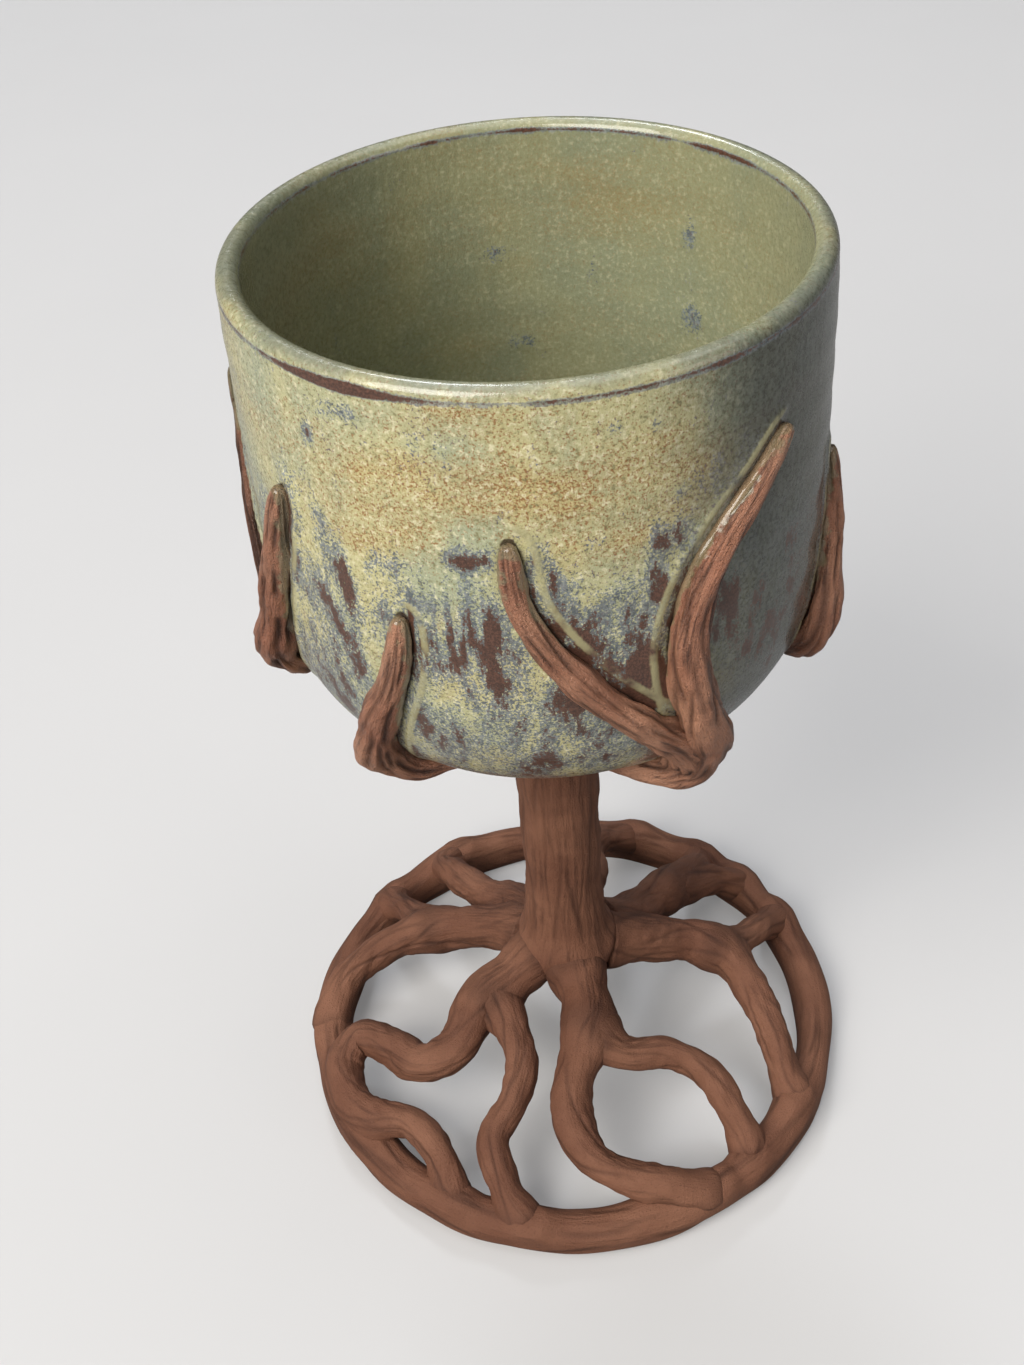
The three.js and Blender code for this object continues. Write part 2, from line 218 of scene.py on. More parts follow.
def lumps(theta, along, size, seed):
    """Unevenness left by fingers: long soft waves, and short ones a third as high."""
    soft = waves(theta, along, size, seed, count=7, most_turns=3, lengths=(9, 34))
    return soft + waves(theta, along, size / 3, seed + 1000, count=16, most_turns=7, lengths=(3, 8))


print("coils can be scored and lumped")

# %% [markdown]
# Where two coils meet, the potter smooths slip into the corner. The swell below is the
# outward push of a smooth union, so a corner becomes a soft fillet.

# %% Luted joints
POINTS_AT_ONCE = 4000


def coil_gap(points, centre, radius):
    """Distance from points to a coil: to its nearest cross-section, less the radius there.
    Every second section is near enough, and a few thousand points at once save memory."""
    flat = points.reshape(-1, 3)
    gaps = []
    for chunk in np.array_split(flat, max(1, len(flat) // POINTS_AT_ONCE)):
        reach = np.linalg.norm(chunk[:, None, :] - centre[None, ::2, :], axis=2) - radius[None, ::2]
        gaps.append(reach.min(axis=1))
    return np.concatenate(gaps).reshape(points.shape[:-1])


def swell(gap, fillet):
    """Outward push of a smooth union: (fillet - gap) squared over four fillets."""
    return (fillet - np.clip(gap, 0.0, fillet)) ** 2 / (4 * fillet)


print("two coils in touch swell by", swell(0.0, 6.0), "mm where the fillet is 6 mm")

# %% [markdown]
# A coil's skin is its cross-section carried along its line. A curve object with a bevel
# would do that too, but here each point is kept with its outward direction, so that it can
# be pushed out or cut in later.

# %% A skin swept along a line
TIP_LEFT = 0.08


def swept_grid(line, out, radius, columns, wide=1.0):
    """Points and directions of a coil's skin.
    At each place along the line an ellipse stands square to it: the radius tall along the
    given outward direction, and the radius times the width across it."""
    tangent = unit(np.gradient(line, axis=0))
    side = unit(np.cross(tangent, out))
    top = np.cross(side, tangent)[:, None, :]
    side = side[:, None, :]
    theta = np.linspace(0.0, 2 * math.pi, columns, endpoint=False)
    cosine = np.cos(theta)[None, :, None]
    sine = np.sin(theta)[None, :, None]
    points = line[:, None, :] + radius[:, None, None] * (cosine * top + wide * sine * side)
    push = cosine * top + sine * side
    return points, push, theta


def rounded_end(along, radius, point=1.0):
    """Draws the radius in at the far end: a quarter circle, or longer where the point is over 1."""
    reach = np.clip((along[-1] - along) / (point * radius[-1]), 0.0, 1.0)
    return radius * np.maximum(np.sqrt(1 - (1 - reach) ** 2), TIP_LEFT)


print("a tip keeps", TIP_LEFT, "of its radius")

# %% [markdown]
# A grid of points becomes a mesh: four-sided faces between neighbouring rows, and a fan at
# each end, or a wrap when the coil closes on itself. The sign of the volume tells whether
# the faces point outwards, and turns them round if they don't.

# %% From grid to mesh


def grid_faces(rows, columns, wrap):
    """Quads between neighbouring rows of a grid, as indices."""
    row = np.arange(rows if wrap else rows - 1)[:, None]
    column = np.arange(columns)[None, :]
    after = (column + 1) % columns
    above = (row + 1) % rows
    quads = np.stack(
        [row * columns + column, row * columns + after, above * columns + after, above * columns + column],
        axis=-1,
    )
    return quads.reshape(-1, 4)


def signed_volume(points, quads):
    """Volume that the quads enclose, negative where they face inwards."""
    a, b, c, d = (points[quads[:, corner]] for corner in range(4))
    first = np.einsum("ij,ij->i", a, np.cross(b, c)).sum()
    second = np.einsum("ij,ij->i", a, np.cross(c, d)).sum()
    return (first + second) / 6


def make_piece(name, grid, slot, material, wrap=False, poles=None, **attributes):
    """One mesh from a grid of points in millimetres, with its attributes, riding on the frame."""
    rows, columns, _ = grid.shape
    points = grid.reshape(-1, 3)
    quads = grid_faces(rows, columns, wrap)
    facing = 1 if signed_volume(points - points.mean(axis=0), quads) > 0 else -1
    faces = quads[:, ::facing].tolist()
    if not wrap:
        caps = poles if poles is not None else (grid[0].mean(axis=0), grid[-1].mean(axis=0))
        points = np.vstack([points, caps])
        ring = np.arange(columns)
        after = (ring + 1) % columns
        start = np.stack([np.full(columns, rows * columns), after, ring], axis=-1)
        last = (rows - 1) * columns
        end = np.stack([np.full(columns, rows * columns + 1), last + ring, last + after], axis=-1)
        faces += start[:, ::facing].tolist() + end[:, ::facing].tolist()
    mesh = bpy.data.meshes.new(name)
    mesh.from_pydata((points * MM).tolist(), [], faces)
    mesh.polygons.foreach_set("use_smooth", np.ones(len(mesh.polygons), bool))
    for label, values in attributes.items():
        vector = values.ndim == 3
        flat = values.reshape(rows * columns, -1)
        if not wrap:
            flat = np.vstack([flat, flat[:columns].mean(axis=0), flat[-columns:].mean(axis=0)])
        made = mesh.attributes.new(label, "FLOAT_VECTOR" if vector else "FLOAT", "POINT")
        made.data.foreach_set("vector" if vector else "value", flat.astype(np.float32).ravel())
    mesh.materials.append(material)
    piece = bpy.data.objects.new(name, mesh)
    bpy.context.scene.collection.objects.link(piece)
    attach(piece, "root")
    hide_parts(name)
    print(name, "has", len(mesh.polygons), "faces")


def grain_of(theta, along, radius):
    """A seamless grain address: round the coil as a circle, and along it as a length."""
    reach = np.broadcast_to(np.asarray(radius)[:, None], (len(along), len(theta)))
    return np.stack(
        [reach * np.cos(theta), reach * np.sin(theta), np.broadcast_to(along[:, None], reach.shape)], axis=-1
    )


print("a closed grid of 3 rows and 4 columns has", len(grid_faces(3, 4, True)), "faces")

# %% [markdown]
# ## Materials
# Fired clay and glaze are never one colour. A picture could be wrapped round the piece, but
# noise patterns stay sharp from any distance, and marks that the mesh carries on its points
# say where a crease, a joint or a thin place is. Coats of colour are then laid one over
# another, each where a sum of patterns and marks passes a threshold.
# Colours are written as they look on a screen and turned into light values by one function.
# Pattern scales are counts per millimetre, so a scale of 2 means spots of half a millimetre.

# %% Node tools


def linear(colour):
    """Light values of a screen colour written as #rrggbb."""
    parts = [int(colour[i : i + 2], 16) / 255 for i in (1, 3, 5)]
    return [c / 12.92 if c <= 0.04045 else ((c + 0.055) / 1.055) ** 2.4 for c in parts] + [1.0]


def add_node(tree, kind, inputs, output=0, **settings):
    """A node with its settings, its constant inputs and its links. Gives back one output."""
    made = tree.nodes.new(kind)
    for key, value in settings.items():
        setattr(made, key, value)
    for socket, value in inputs.items():
        if isinstance(value, bpy.types.NodeSocket):
            tree.links.new(value, made.inputs[socket])
        else:
            made.inputs[socket].default_value = value
    return made.outputs[output] if made.outputs else None


def new_material(name):
    """An empty node material, its tree and its surface shader."""
    material = bpy.data.materials.new(name)
    material.use_nodes = True
    tree = material.node_tree
    tree.nodes.clear()
    surface = add_node(tree, "ShaderNodeBsdfPrincipled", {})
    add_node(tree, "ShaderNodeOutputMaterial", {"Surface": surface})
    return material, tree, surface.node


def place_in_mm(tree):
    """Object coordinates in millimetres."""
    metres = add_node(tree, "ShaderNodeTexCoord", {}, "Object")
    return add_node(tree, "ShaderNodeMapping", {"Vector": metres, "Scale": (1 / MM, 1 / MM, 1 / MM)})


def patterns(tree, place, sizes):
    """Noise patterns, each from a stretch along the third axis, a scale, a detail and a roughness."""
    made = []
    for along, scale, detail, roughness in sizes:
        spot = add_node(tree, "ShaderNodeMapping", {"Vector": place, "Scale": (1.0, 1.0, along)})
        inputs = {"Vector": spot, "Scale": scale, "Detail": detail, "Roughness": roughness}
        made.append(add_node(tree, "ShaderNodeTexNoise", inputs, "Fac"))
    return made


print("screen grey #808080 is", round(linear("#808080")[0], 3), "as light")

# %% [markdown]
# A potter lays one coat over another, so colours are built the same way. Four small formulas
# do it: a weighed sum, how far that sum is past a threshold, coats of colour by their shares,
# and fine relief.

# %% Coats of colour


def weighed(tree, *parts, start=0.0):
    """A sum: the start, and each part times its weight."""
    total = start
    for part, weight in parts:
        total = add_node(tree, "ShaderNodeMath", {0: part, 1: weight, 2: total}, operation="MULTIPLY_ADD")
    return total


def past(tree, low, high, *parts, most=1.0):
    """How far a weighed sum is past a threshold: 0 at low, a smooth climb, and the most at high."""
    inputs = {"Value": weighed(tree, *parts), "From Min": low, "From Max": high, "To Max": most}
    return add_node(tree, "ShaderNodeMapRange", inputs, interpolation_type="SMOOTHSTEP")


def coated(tree, colour, coats):
    """The colour after each coat, a share and a tone, has been laid over the ones before."""
    for share, tone in coats:
        inputs = {0: share, 6: colour, 7: tone}
        colour = add_node(tree, "ShaderNodeMix", inputs, 2, data_type="RGBA")
    return colour


def roughened(tree, shader, *layers):
    """Fine relief on a surface: heights, each with a depth in millimetres, one on another."""
    inputs = {}
    for height, depth in layers:
        inputs.update({"Height": height, "Distance": depth * MM, "Strength": 1.0})
        inputs["Normal"] = add_node(tree, "ShaderNodeBump", inputs)
    tree.links.new(inputs["Normal"], shader.inputs["Normal"])


print("coats and relief are ready")

# %% [markdown]
# Bare fired stoneware is matte. Its red-brown drifts from patch to patch, the scored lines
# and the corners of joints get painted shade, and sand grains show as fine specks, some
# paler and some darker. The streaks follow the coil, so they read the grain address and not
# the place in space.

# %% Bare clay
# Stretch along the third axis, count to the millimetre, detail and roughness
FIRING_PATCHES = (1.0, 0.05, 3.0, 0.55)
GROG = (1.0, 2.6, 3.0, 0.7)
STREAK_DRAWN_OUT = 0.09
ROOT_TONES = ("#6e4735", "#3a2015", "#865c47")


def bare_clay(name, tones, roughness, streak, streak_depth, grit):
    """Unglazed stoneware: patches 20 mm wide, streaks drawn out along the grain, painted shade
    in the creases and joint corners, and grog of 0.4 mm, in a body, a deep and a pale tone."""
    body, deep, pale = [linear(tone) for tone in tones]
    material, tree, shader = new_material(name)
    patches, grog = patterns(tree, place_in_mm(tree), [FIRING_PATCHES, GROG])
    grain = add_node(tree, "ShaderNodeAttribute", {}, "Vector", attribute_name="grain")
    [streaks] = patterns(tree, grain, [(STREAK_DRAWN_OUT, streak, 5.0, 0.62)])
    crease = add_node(tree, "ShaderNodeAttribute", {}, "Fac", attribute_name="crease")
    colour = coated(tree, body, [
        (past(tree, 0.35, 0.7, (patches, 1)), pale),
        (past(tree, 0.5, 0.72, (streaks, 1), most=streak_depth), deep),
        (past(tree, 0.56, 0.72, (grog, 1), most=0.4), pale),
        (past(tree, 0.44, 0.3, (grog, 1), most=0.35), deep),
        # painted shade: the crease mark darkens scored lines, joint corners and the twig towards the deep
        # tone
        (weighed(tree, (crease, 0.92)), deep),
    ])
    tree.links.new(colour, shader.inputs["Base Color"])
    shader.inputs["Roughness"].default_value = roughness
    shader.inputs["Specular IOR Level"].default_value = 0.35
    roughened(tree, shader, (grog, grit), (streaks, 2 * grit))
    return material, tree, shader


root_clay, _, _ = bare_clay(
    "bare red stoneware, rolled and smoothed", ROOT_TONES,
    roughness=0.7, streak=0.55, streak_depth=0.6, grit=0.3,
)
bark_clay, _, _ = bare_clay(
    "bare red stoneware, scored as bark", ROOT_TONES,
    roughness=0.74, streak=0.75, streak_depth=0.6, grit=0.25,
)
print("made", root_clay.name, "and", bark_clay.name)

# %% [markdown]
# The branches are the same clay, washed with a copper-red slip that shines a little. Where
# the cup's glaze ran over an edge, it leaves a glossy coat. The shader's own coat layer
# gives that gloss, and a patchy threshold keeps the run from ending in a straight line.

# %% Branch clay
BRANCH_TONES = ("#a06a52", "#331b12", "#c69276")
GLAZE_RUN = (1.0, 0.5, 4.0, 0.55)


def branch_finish():
    """Copper-red slip with a run of pale glaze where the wet mark is high."""
    name = "copper-red slip over stoneware, glaze run along the edges"
    material, tree, shader = bare_clay(
        name, BRANCH_TONES, roughness=0.34, streak=0.9, streak_depth=0.85, grit=0.5
    )
    wet = add_node(tree, "ShaderNodeAttribute", {}, "Fac", attribute_name="wet")
    [run] = patterns(tree, place_in_mm(tree), [GLAZE_RUN])
    coat = past(tree, 0.84, 0.98, (wet, 1), (run, 0.9))
    slip = shader.inputs["Base Color"].links[0].from_socket
    glazed = coated(tree, slip, [(weighed(tree, (coat, 0.55)), linear("#8f8a66"))])
    tree.links.new(glazed, shader.inputs["Base Color"])
    tree.links.new(coat, shader.inputs["Coat Weight"])
    shader.inputs["Coat Roughness"].default_value = 0.08
    shader.inputs["Specular IOR Level"].default_value = 0.5
    return material


branch_clay = branch_finish()
print("made", branch_clay.name)

# %% [markdown]
# The glaze is a yellow-green coat, between satin and gloss, full of ochre specks. It breaks
# to brown where it is thin, with a feathered blue-grey halo round each break. Breaks gather
# low on the wall, along the branches and on the lip. A break is drawn by a slow, streaky
# pattern, and a strong fine one stipples its edge, because glaze never ends in a clean line.

# %% Cup glaze
GLAZE_MARKS = ["inside", "thin", "comb", "lip", "pool", "weld", "cool", "warm"]
# The clouds are 14 to 20 mm wide, the specks 0.4 to 0.8 mm, the breaks 6 mm and drawn down
BANDED = (2.5, 0.05, 5.0, 0.6)
BROAD = (0.6, 0.07, 4.0, 0.55)
FINE = (1.0, 1.3, 3.0, 0.7)
FLECK = (1.0, 2.7, 2.0, 0.7)
STREAKY = (0.45, 0.17, 6.0, 0.65)
COMBED = (0.1, 0.55, 2.0, 0.55)
LIP_DRIFT = (1.0, 0.08, 4.0, 0.55)
WELD_DRIFT = (1.0, 0.16, 3.0, 0.55)
LIP_WORN = (1.0, 0.11, 4.0, 0.55)


def speckled_green(tree, inside, cool, wide, broad, fine, fleck, drift):
    """The coat itself: greens in broad clouds, ochre, pale and dark specks, a duller inside,
    a cooler glaze under painted shade on the side away from the window, painted shade under
    the belly and on the inner left wall, and a grey crest on the lip, where the inside mark is
    half way."""
    strength = weighed(tree, (inside, -0.65), start=0.95)
    ochre = past(tree, 0.69, 0.83, (fleck, 1), (wide, 0.42), most=strength)
    pale = past(tree, 0.52, 0.68, (fine, 1), most=weighed(tree, (strength, 0.8)))
    dark = past(tree, 0.46, 0.3, (fine, 1), most=weighed(tree, (strength, 0.9)))
    # painted shade: a near-black grey-green laid on the side away from the window, under the belly and on
    # the inner left wall
    shaded = coated(tree, linear("#222827"), [(past(tree, 0.36, 0.66, (fine, 1)), linear("#46504e"))])
    crest = weighed(tree, (inside, weighed(tree, (inside, -2.4), start=2.4)))
    return coated(tree, linear("#c6c191"), [
        (past(tree, 0.38, 0.64, (broad, 1)), linear("#a9b092")),
        (past(tree, 0.34, 0.68, (wide, 1)), linear("#c6b47c")),
        (weighed(tree, (inside, 0.75)), linear("#82866c")),
        (ochre, linear("#94683a")),
        (pale, linear("#ebe5c2")),
        (dark, linear("#827e57")),
        (weighed(tree, (cool, 0.9)), shaded),
        (past(tree, 0.3, 0.56, (drift, 1), most=crest), linear("#6b7067")),
    ])


def cup_glaze():
    """Speckled green with blue-grey halos, brown breaks, weld lines, painted shade in the corners
    beside the branches, and a worn lip.
    """
    material, tree, shader = new_material("green ash glaze over iron slip, breaking to brown")
    inside, thin, comb, lip, pool, weld, cool, warm = [
        add_node(tree, "ShaderNodeAttribute", {}, "Fac", attribute_name=mark) for mark in GLAZE_MARKS
    ]
    place = place_in_mm(tree)
    banded, broad, fine, fleck = patterns(tree, place, [BANDED, BROAD, FINE, FLECK])
    streaky, combed = patterns(tree, place, [STREAKY, COMBED])
    lip_drift, weld_drift, lip_worn = patterns(tree, place, [LIP_DRIFT, WELD_DRIFT, LIP_WORN])
    wide = weighed(tree, (banded, 0.7), (warm, 0.2))
    green = speckled_green(tree, inside, cool, wide, broad, fine, fleck, lip_drift)

    teeth = past(tree, 0.42, 0.58, (combed, 1), most=comb)
    breaks = weighed(tree, (streaky, 1.6), (thin, 0.55), (teeth, 1), (inside, -0.08))
    bare = past(tree, 1.74, 1.82, (breaks, 1), (fine, 0.35), (fleck, 0.3), (thin, 0.2))
    faded = weighed(tree, (cool, -0.65), start=0.9)
    halo = past(tree, 1.74, 1.84, (breaks, 1), (fleck, 1.3), most=faded)
    slate = coated(tree, linear("#56606a"), [(past(tree, 0.36, 0.66, (fine, 1)), linear("#868f95"))])
    umber = coated(tree, linear("#452f26"), [(past(tree, 0.36, 0.66, (fleck, 1)), linear("#664639"))])

    line_left = past(tree, 0.36, 0.56, (weld_drift, 1), most=0.75)
    weld_line = past(tree, 0.6, 0.95, (weld, 1), (fine, 0.35), most=line_left)
    # painted shade: a dark brown band in the corner where each branch meets the wall
    corner_shade = past(tree, 0.6, 0.95, (pool, 1), (fine, 0.5), most=0.9)
    worn = weighed(tree, (lip, 1), (lip_worn, 0.9), (fine, 0.45), (fleck, 0.4))
    colour = coated(tree, green, [
        (halo, slate),
        (bare, umber),
        (weld_line, linear("#b0ab82")),
        (corner_shade, linear("#3b2c24")),
        (past(tree, 1.48, 1.6, (worn, 1), most=0.7), slate),
        (past(tree, 1.63, 1.76, (worn, 1)), umber),
    ])
    tree.links.new(colour, shader.inputs["Base Color"])
    tree.links.new(weighed(tree, (bare, 0.12), (fine, 0.3), start=0.14), shader.inputs["Roughness"])
    shader.inputs["Specular IOR Level"].default_value = 0.5
    shader.inputs["Coat Weight"].default_value = 0.5
    shader.inputs["Coat Roughness"].default_value = 0.07
    roughened(tree, shader, (fine, 0.05), (breaks, 0.25))
    return material


glaze = cup_glaze()
print("made", glaze.name)

# %% [markdown]
# ## The cup's outer face
# The branches lie on the cup, so its outer face is worked out first, as a formula that any
# point can be measured against. One number, the climb, runs from 0 at the middle of the
# underside to 1 at the top of the belly and 2 at the lip. The belly is a squared-off
# ellipse, and the wall above it is nearly straight.

# %% Cup face
WALL_SWELL = 0.5
BELLY_SHARE = 0.51
BELLY_HEIGHT = (LIP_TOP - CUP_BASE) * BELLY_SHARE
BELLY_SQUARENESS = 3.2
FACE_STEPS = 700
CLIMB_NUDGE = 0.01


def cup_face(climb, inset=0.0, base=CUP_BASE):
    """Radius and height of the cup's face at a climb from 0 to 2. Up to 1 the radius is a sine
    and the height one less a cosine, each to the power of 2 over the squareness. From 1 on,
    the wall rises in a straight line and leans in by its swell."""
    climb = np.asarray(climb, float)
    power = 2 / BELLY_SQUARENESS
    angle = np.clip(climb, 0, 1) * math.pi / 2
    belly_top = CUP_BASE + BELLY_HEIGHT
    belly_r = (CUP_RADIUS - inset) * np.sin(angle) ** power
    belly_z = base + (belly_top - base) * (1 - np.maximum(np.cos(angle), 0) ** power)
    rise_share = np.clip(climb - 1, 0, 1)
    radius = np.where(climb <= 1, belly_r, CUP_RADIUS - inset - WALL_SWELL * rise_share)
    height = np.where(climb <= 1, belly_z, belly_top + (LIP_TOP - belly_top) * rise_share)
    return radius, height


def cup_facing(climb):
    """Outward direction of the face, as radius and height parts: square to the step between
    two neighbouring climbs."""
    r1, z1 = cup_face(np.maximum(np.asarray(climb) - CLIMB_NUDGE, 0))
    r2, z2 = cup_face(np.asarray(climb) + CLIMB_NUDGE)
    along = unit(np.stack([r2 - r1, z2 - z1], axis=-1))
    return along[..., 1], -along[..., 0]


FACE_CLIMB = np.linspace(0.0, 2.0, FACE_STEPS)
FACE_R, FACE_Z = cup_face(FACE_CLIMB)
FACE_OUT_R, FACE_OUT_Z = cup_facing(FACE_CLIMB)


def nearest_face(points):
    """For each point, the gap to the cup's outer face and the face's outward direction there.
    The nearest of the face's steps is found in radius and height, and the gap is measured
    along its outward direction."""
    flat = points.reshape(-1, 3)
    reach = np.hypot(flat[:, 0], flat[:, 1])
    away = np.hypot(reach[:, None] - FACE_R[None, :], flat[:, 2:3] - FACE_Z[None, :])
    best = away.argmin(axis=1)
    out_r, out_z = FACE_OUT_R[best], FACE_OUT_Z[best]
    gap = (reach - FACE_R[best]) * out_r + (flat[:, 2] - FACE_Z[best]) * out_z
    cosine = flat[:, 0] / np.maximum(reach, 1e-6)
    sine = flat[:, 1] / np.maximum(reach, 1e-6)
    out = np.stack([out_r * cosine, out_r * sine, out_z], axis=-1)
    return gap.reshape(points.shape[:-1]), out.reshape(points.shape)


print("belly", round(BELLY_HEIGHT, 1), "mm high")

# %% [markdown]
# ## Where the coils run
# A root is placed as a potter would place it, seen from above: each point is the share of
# the way from the axis to the ring, and a bearing. Its height follows, because every root
# falls from one crown on the trunk to its seat on the ring.

# %% Root lines
RING_COIL_RADIUS = 4.0
RING_RADIUS = RING_OUTER - RING_COIL_RADIUS
RING_FLAT_DEPTH = 0.7
RING_AXIS = RING_COIL_RADIUS - RING_FLAT_DEPTH
RING_SEAT = RING_AXIS + RING_COIL_RADIUS
ROOT_CROWN = 32.0
ROOT_SAG = 0.85
ROOT_THICKNESS = 12.0
ROOT_TIP_THICKNESS = 6.4
SPUR_THICKNESS = 8.4
STUB_THICKNESS = 7.6
ROOT_TAPER = 1.2
SEAT_SHARE = 0.55
BRANCH_SWELL_START = 0.62
ROOTS = {
    "root_front_left": (ROOT_THICKNESS, [
        (0.12, -156), (0.27, -154), (0.42, -152), (0.58, -143), (0.7, -148), (0.77, -159), (0.88, -167),
        (0.97, -163), (0.99, -154), (0.96, -146), (0.88, -137), (0.9, -126), (1.0, -118),
    ]),
    "root_front_left_spur": (SPUR_THICKNESS, [
        (0.36, -150), (0.39, -127), (0.49, -115), (0.65, -113), (0.79, -114), (0.92, -108), (1.02, -101),
    ]),
    "root_front_right": (ROOT_THICKNESS, [
        (0.1, -85), (0.21, -77), (0.33, -79), (0.49, -89), (0.66, -92), (0.81, -87), (0.91, -76),
        (0.97, -67), (1.02, -59),
    ]),
    "root_front_right_spur": (SPUR_THICKNESS, [
        (0.33, -79), (0.48, -67), (0.56, -50), (0.69, -44), (0.83, -46), (0.94, -48), (1.01, -50),
    ]),
    "root_right": (ROOT_THICKNESS, [
        (0.14, 0), (0.33, 9), (0.51, 12), (0.66, 4), (0.76, -10), (0.86, -22), (0.95, -29), (1.02, -32),
    ]),
    "root_right_spur": (STUB_THICKNESS, [(0.6, 8), (0.75, 14), (0.9, 20), (1.03, 25)]),
    "root_back_right": (ROOT_THICKNESS, [
        (0.15, 34), (0.3, 37), (0.5, 42), (0.7, 45), (0.88, 49), (1.01, 52),
    ]),
    "root_back_right_spur": (STUB_THICKNESS, [(0.58, 43), (0.74, 41), (0.88, 40), (1.03, 38)]),
    "root_back": (ROOT_THICKNESS, [(0.15, 86), (0.3, 83), (0.5, 77), (0.7, 80), (0.86, 78), (1.0, 70)]),
    "root_back_left": (ROOT_THICKNESS, [
        (0.15, 122), (0.33, 124), (0.57, 128), (0.8, 126), (0.93, 124), (1.0, 118),
    ]),
    "root_left": (ROOT_THICKNESS, [
        (0.14, 160), (0.38, 151), (0.56, 153), (0.72, 158), (0.86, 164), (0.96, 173), (1.04, 184),
    ]),
    "root_left_spur": (STUB_THICKNESS, [(0.6, 153), (0.75, 148), (0.89, 144), (1.04, 140)]),
}


def taper(spring, thick, thin, elbow, power, share):
    """Radius that swells smoothly from the spring to the elbow, and then falls to the tip as a
    power of the share that is left."""
    swelling = spring + (thick - spring) * smoothstep(elbow * BRANCH_SWELL_START, elbow + 1e-6, share)
    falling = thin + (thick - thin) * np.clip((1 - share) / (1 - elbow), 0.0, 1.0) ** power
    return np.where(share < elbow, swelling, falling) / 2


def root_line(thick, way):
    """Centre line and radius of a root. Its height falls from the crown to the seat with a
    power of the share of the way."""
    share, bearing = np.array(way, float).T
    seat = RING_SEAT + ROOT_TIP_THICKNESS / 2 * SEAT_SHARE
    height = ROOT_CROWN + (seat - ROOT_CROWN) * share ** ROOT_SAG
    line, along = smooth_line(polar(share * RING_RADIUS, bearing, height))
    return line, along, taper(thick, thick, ROOT_TIP_THICKNESS, 0.0, ROOT_TAPER, along / along[-1])


root_lines = {name: root_line(*facts) for name, facts in ROOTS.items()}
print("laid out", len(root_lines), "roots")

# %% [markdown]
# Branches are given as a climb up the cup, a bearing, and a bow off the wall as a share of
# their thickness, so that they stay on the wall whatever the cup's size. Those with an elbow
# spring from the trunk below the cup, the others fork off a neighbour.

# %% Branch lines
TRUNK_RADIUS = 7.7
BRANCH_SPRING_DEPTH = 9.0
BRANCH_SPRING_SHARE = 0.6
BRANCH_SPRING_THICKNESS = 3.6
BRANCH_THICKNESS = 6.2
HEAVY_BRANCH_THICKNESS = 7.6
FORK_THICKNESS = 5.4
TWIG_THICKNESS = 3.0
BRANCH_TIP_THICKNESS = 2.2
BRANCH_TAPER = 1.0
BRANCHES = {
    "branch_left": (BRANCH_THICKNESS, 0.6, [
        (0.2, -178, 0), (0.4, -177, 0), (0.58, -172, 0), (0.71, -164, 0.12), (0.79, -161, 0.24),
        (0.93, -155.5, 0.08), (1.06, -150, 0.02), (1.42, -144, 0),
    ]),
    "branch_left_twig": (TWIG_THICKNESS, 0.0, [
        (0.94, -164, 0.12), (1.1, -173, 0.05), (1.3, -178, 0), (1.54, -180, 0),
    ]),
    "branch_front_left": (BRANCH_THICKNESS, 0.6, [
        (0.14, -112, 0), (0.31, -124, 0), (0.47, -130, 0.35), (0.65, -131, 0.13), (0.82, -126, 0),
        (0.97, -119, 0), (1.08, -117, 0),
    ]),
    "branch_right_front": (HEAVY_BRANCH_THICKNESS, 0.42, [
        (0.2, -76, 0), (0.37, -69, 0.02), (0.49, -60, 0.32), (0.67, -57, 0.1), (0.85, -62, 0),
        (0.99, -65, 0), (1.15, -62, 0), (1.3, -57, 0), (1.44, -49.5, 0), (1.59, -41, 0),
    ]),
    "branch_front": (FORK_THICKNESS, 0.0, [
        (0.62, -60, 0.15), (0.74, -66, 0), (0.84, -73, 0), (0.95, -83, 0), (1.02, -91, 0), (1.2, -95, 0),
        (1.44, -96, 0),
    ]),
    "branch_right": (BRANCH_THICKNESS, 0.6, [
        (0.2, 8, 0), (0.4, 6, 0), (0.56, -4, 0), (0.66, -16, 0.2), (0.77, -20, 0.26),
        (0.93, -16, 0.1), (1.0, -13, 0.03), (1.18, -13, 0),
    ]),
    "branch_back_right": (BRANCH_THICKNESS, 0.5, [
        (0.2, 20, 0), (0.4, 23, 0), (0.58, 28, 0.12), (0.74, 33, 0.18), (0.88, 40, 0.06), (1.02, 44, 0),
        (1.18, 39, 0), (1.34, 35, 0),
    ]),
    "branch_back": (BRANCH_THICKNESS, 0.5, [
        (0.2, 86, 0), (0.4, 87, 0), (0.58, 89, 0.12), (0.75, 92, 0.18), (0.93, 97, 0), (1.15, 90, 0),
        (1.45, 97, 0),
    ]),
    "branch_back_left": (BRANCH_THICKNESS, 0.5, [
        (0.2, 146, 0), (0.4, 145, 0), (0.58, 142, 0.12), (0.74, 139, 0.18), (0.87, 146, 0.06),
        (1.02, 142, 0), (1.28, 152, 0),
    ]),
}


def branch_line(thick, elbow, way):
    """Centre line and radius of a branch that hugs the cup's face from below: points of the
    face, lifted along its outward direction by a share of the radius and the bow."""
    climb, bearing, bow = np.array(way, float).T
    sizes = (BRANCH_SPRING_THICKNESS, thick, BRANCH_TIP_THICKNESS, elbow, BRANCH_TAPER)
    lift = taper(*sizes, np.linspace(0, 1, len(way))) * SEAT_SHARE + bow * thick
    radius, height = cup_face(climb)
    out_r, out_z = cup_facing(climb)
    points = polar(radius + lift * out_r, bearing, height + lift * out_z)
    if elbow > 0:
        spring = polar(TRUNK_RADIUS * BRANCH_SPRING_SHARE, bearing[0], CUP_BASE - BRANCH_SPRING_DEPTH)
        points = np.vstack([spring[None, :], points])
    line, along = smooth_line(points)
    return line, along, taper(*sizes, along / along[-1])


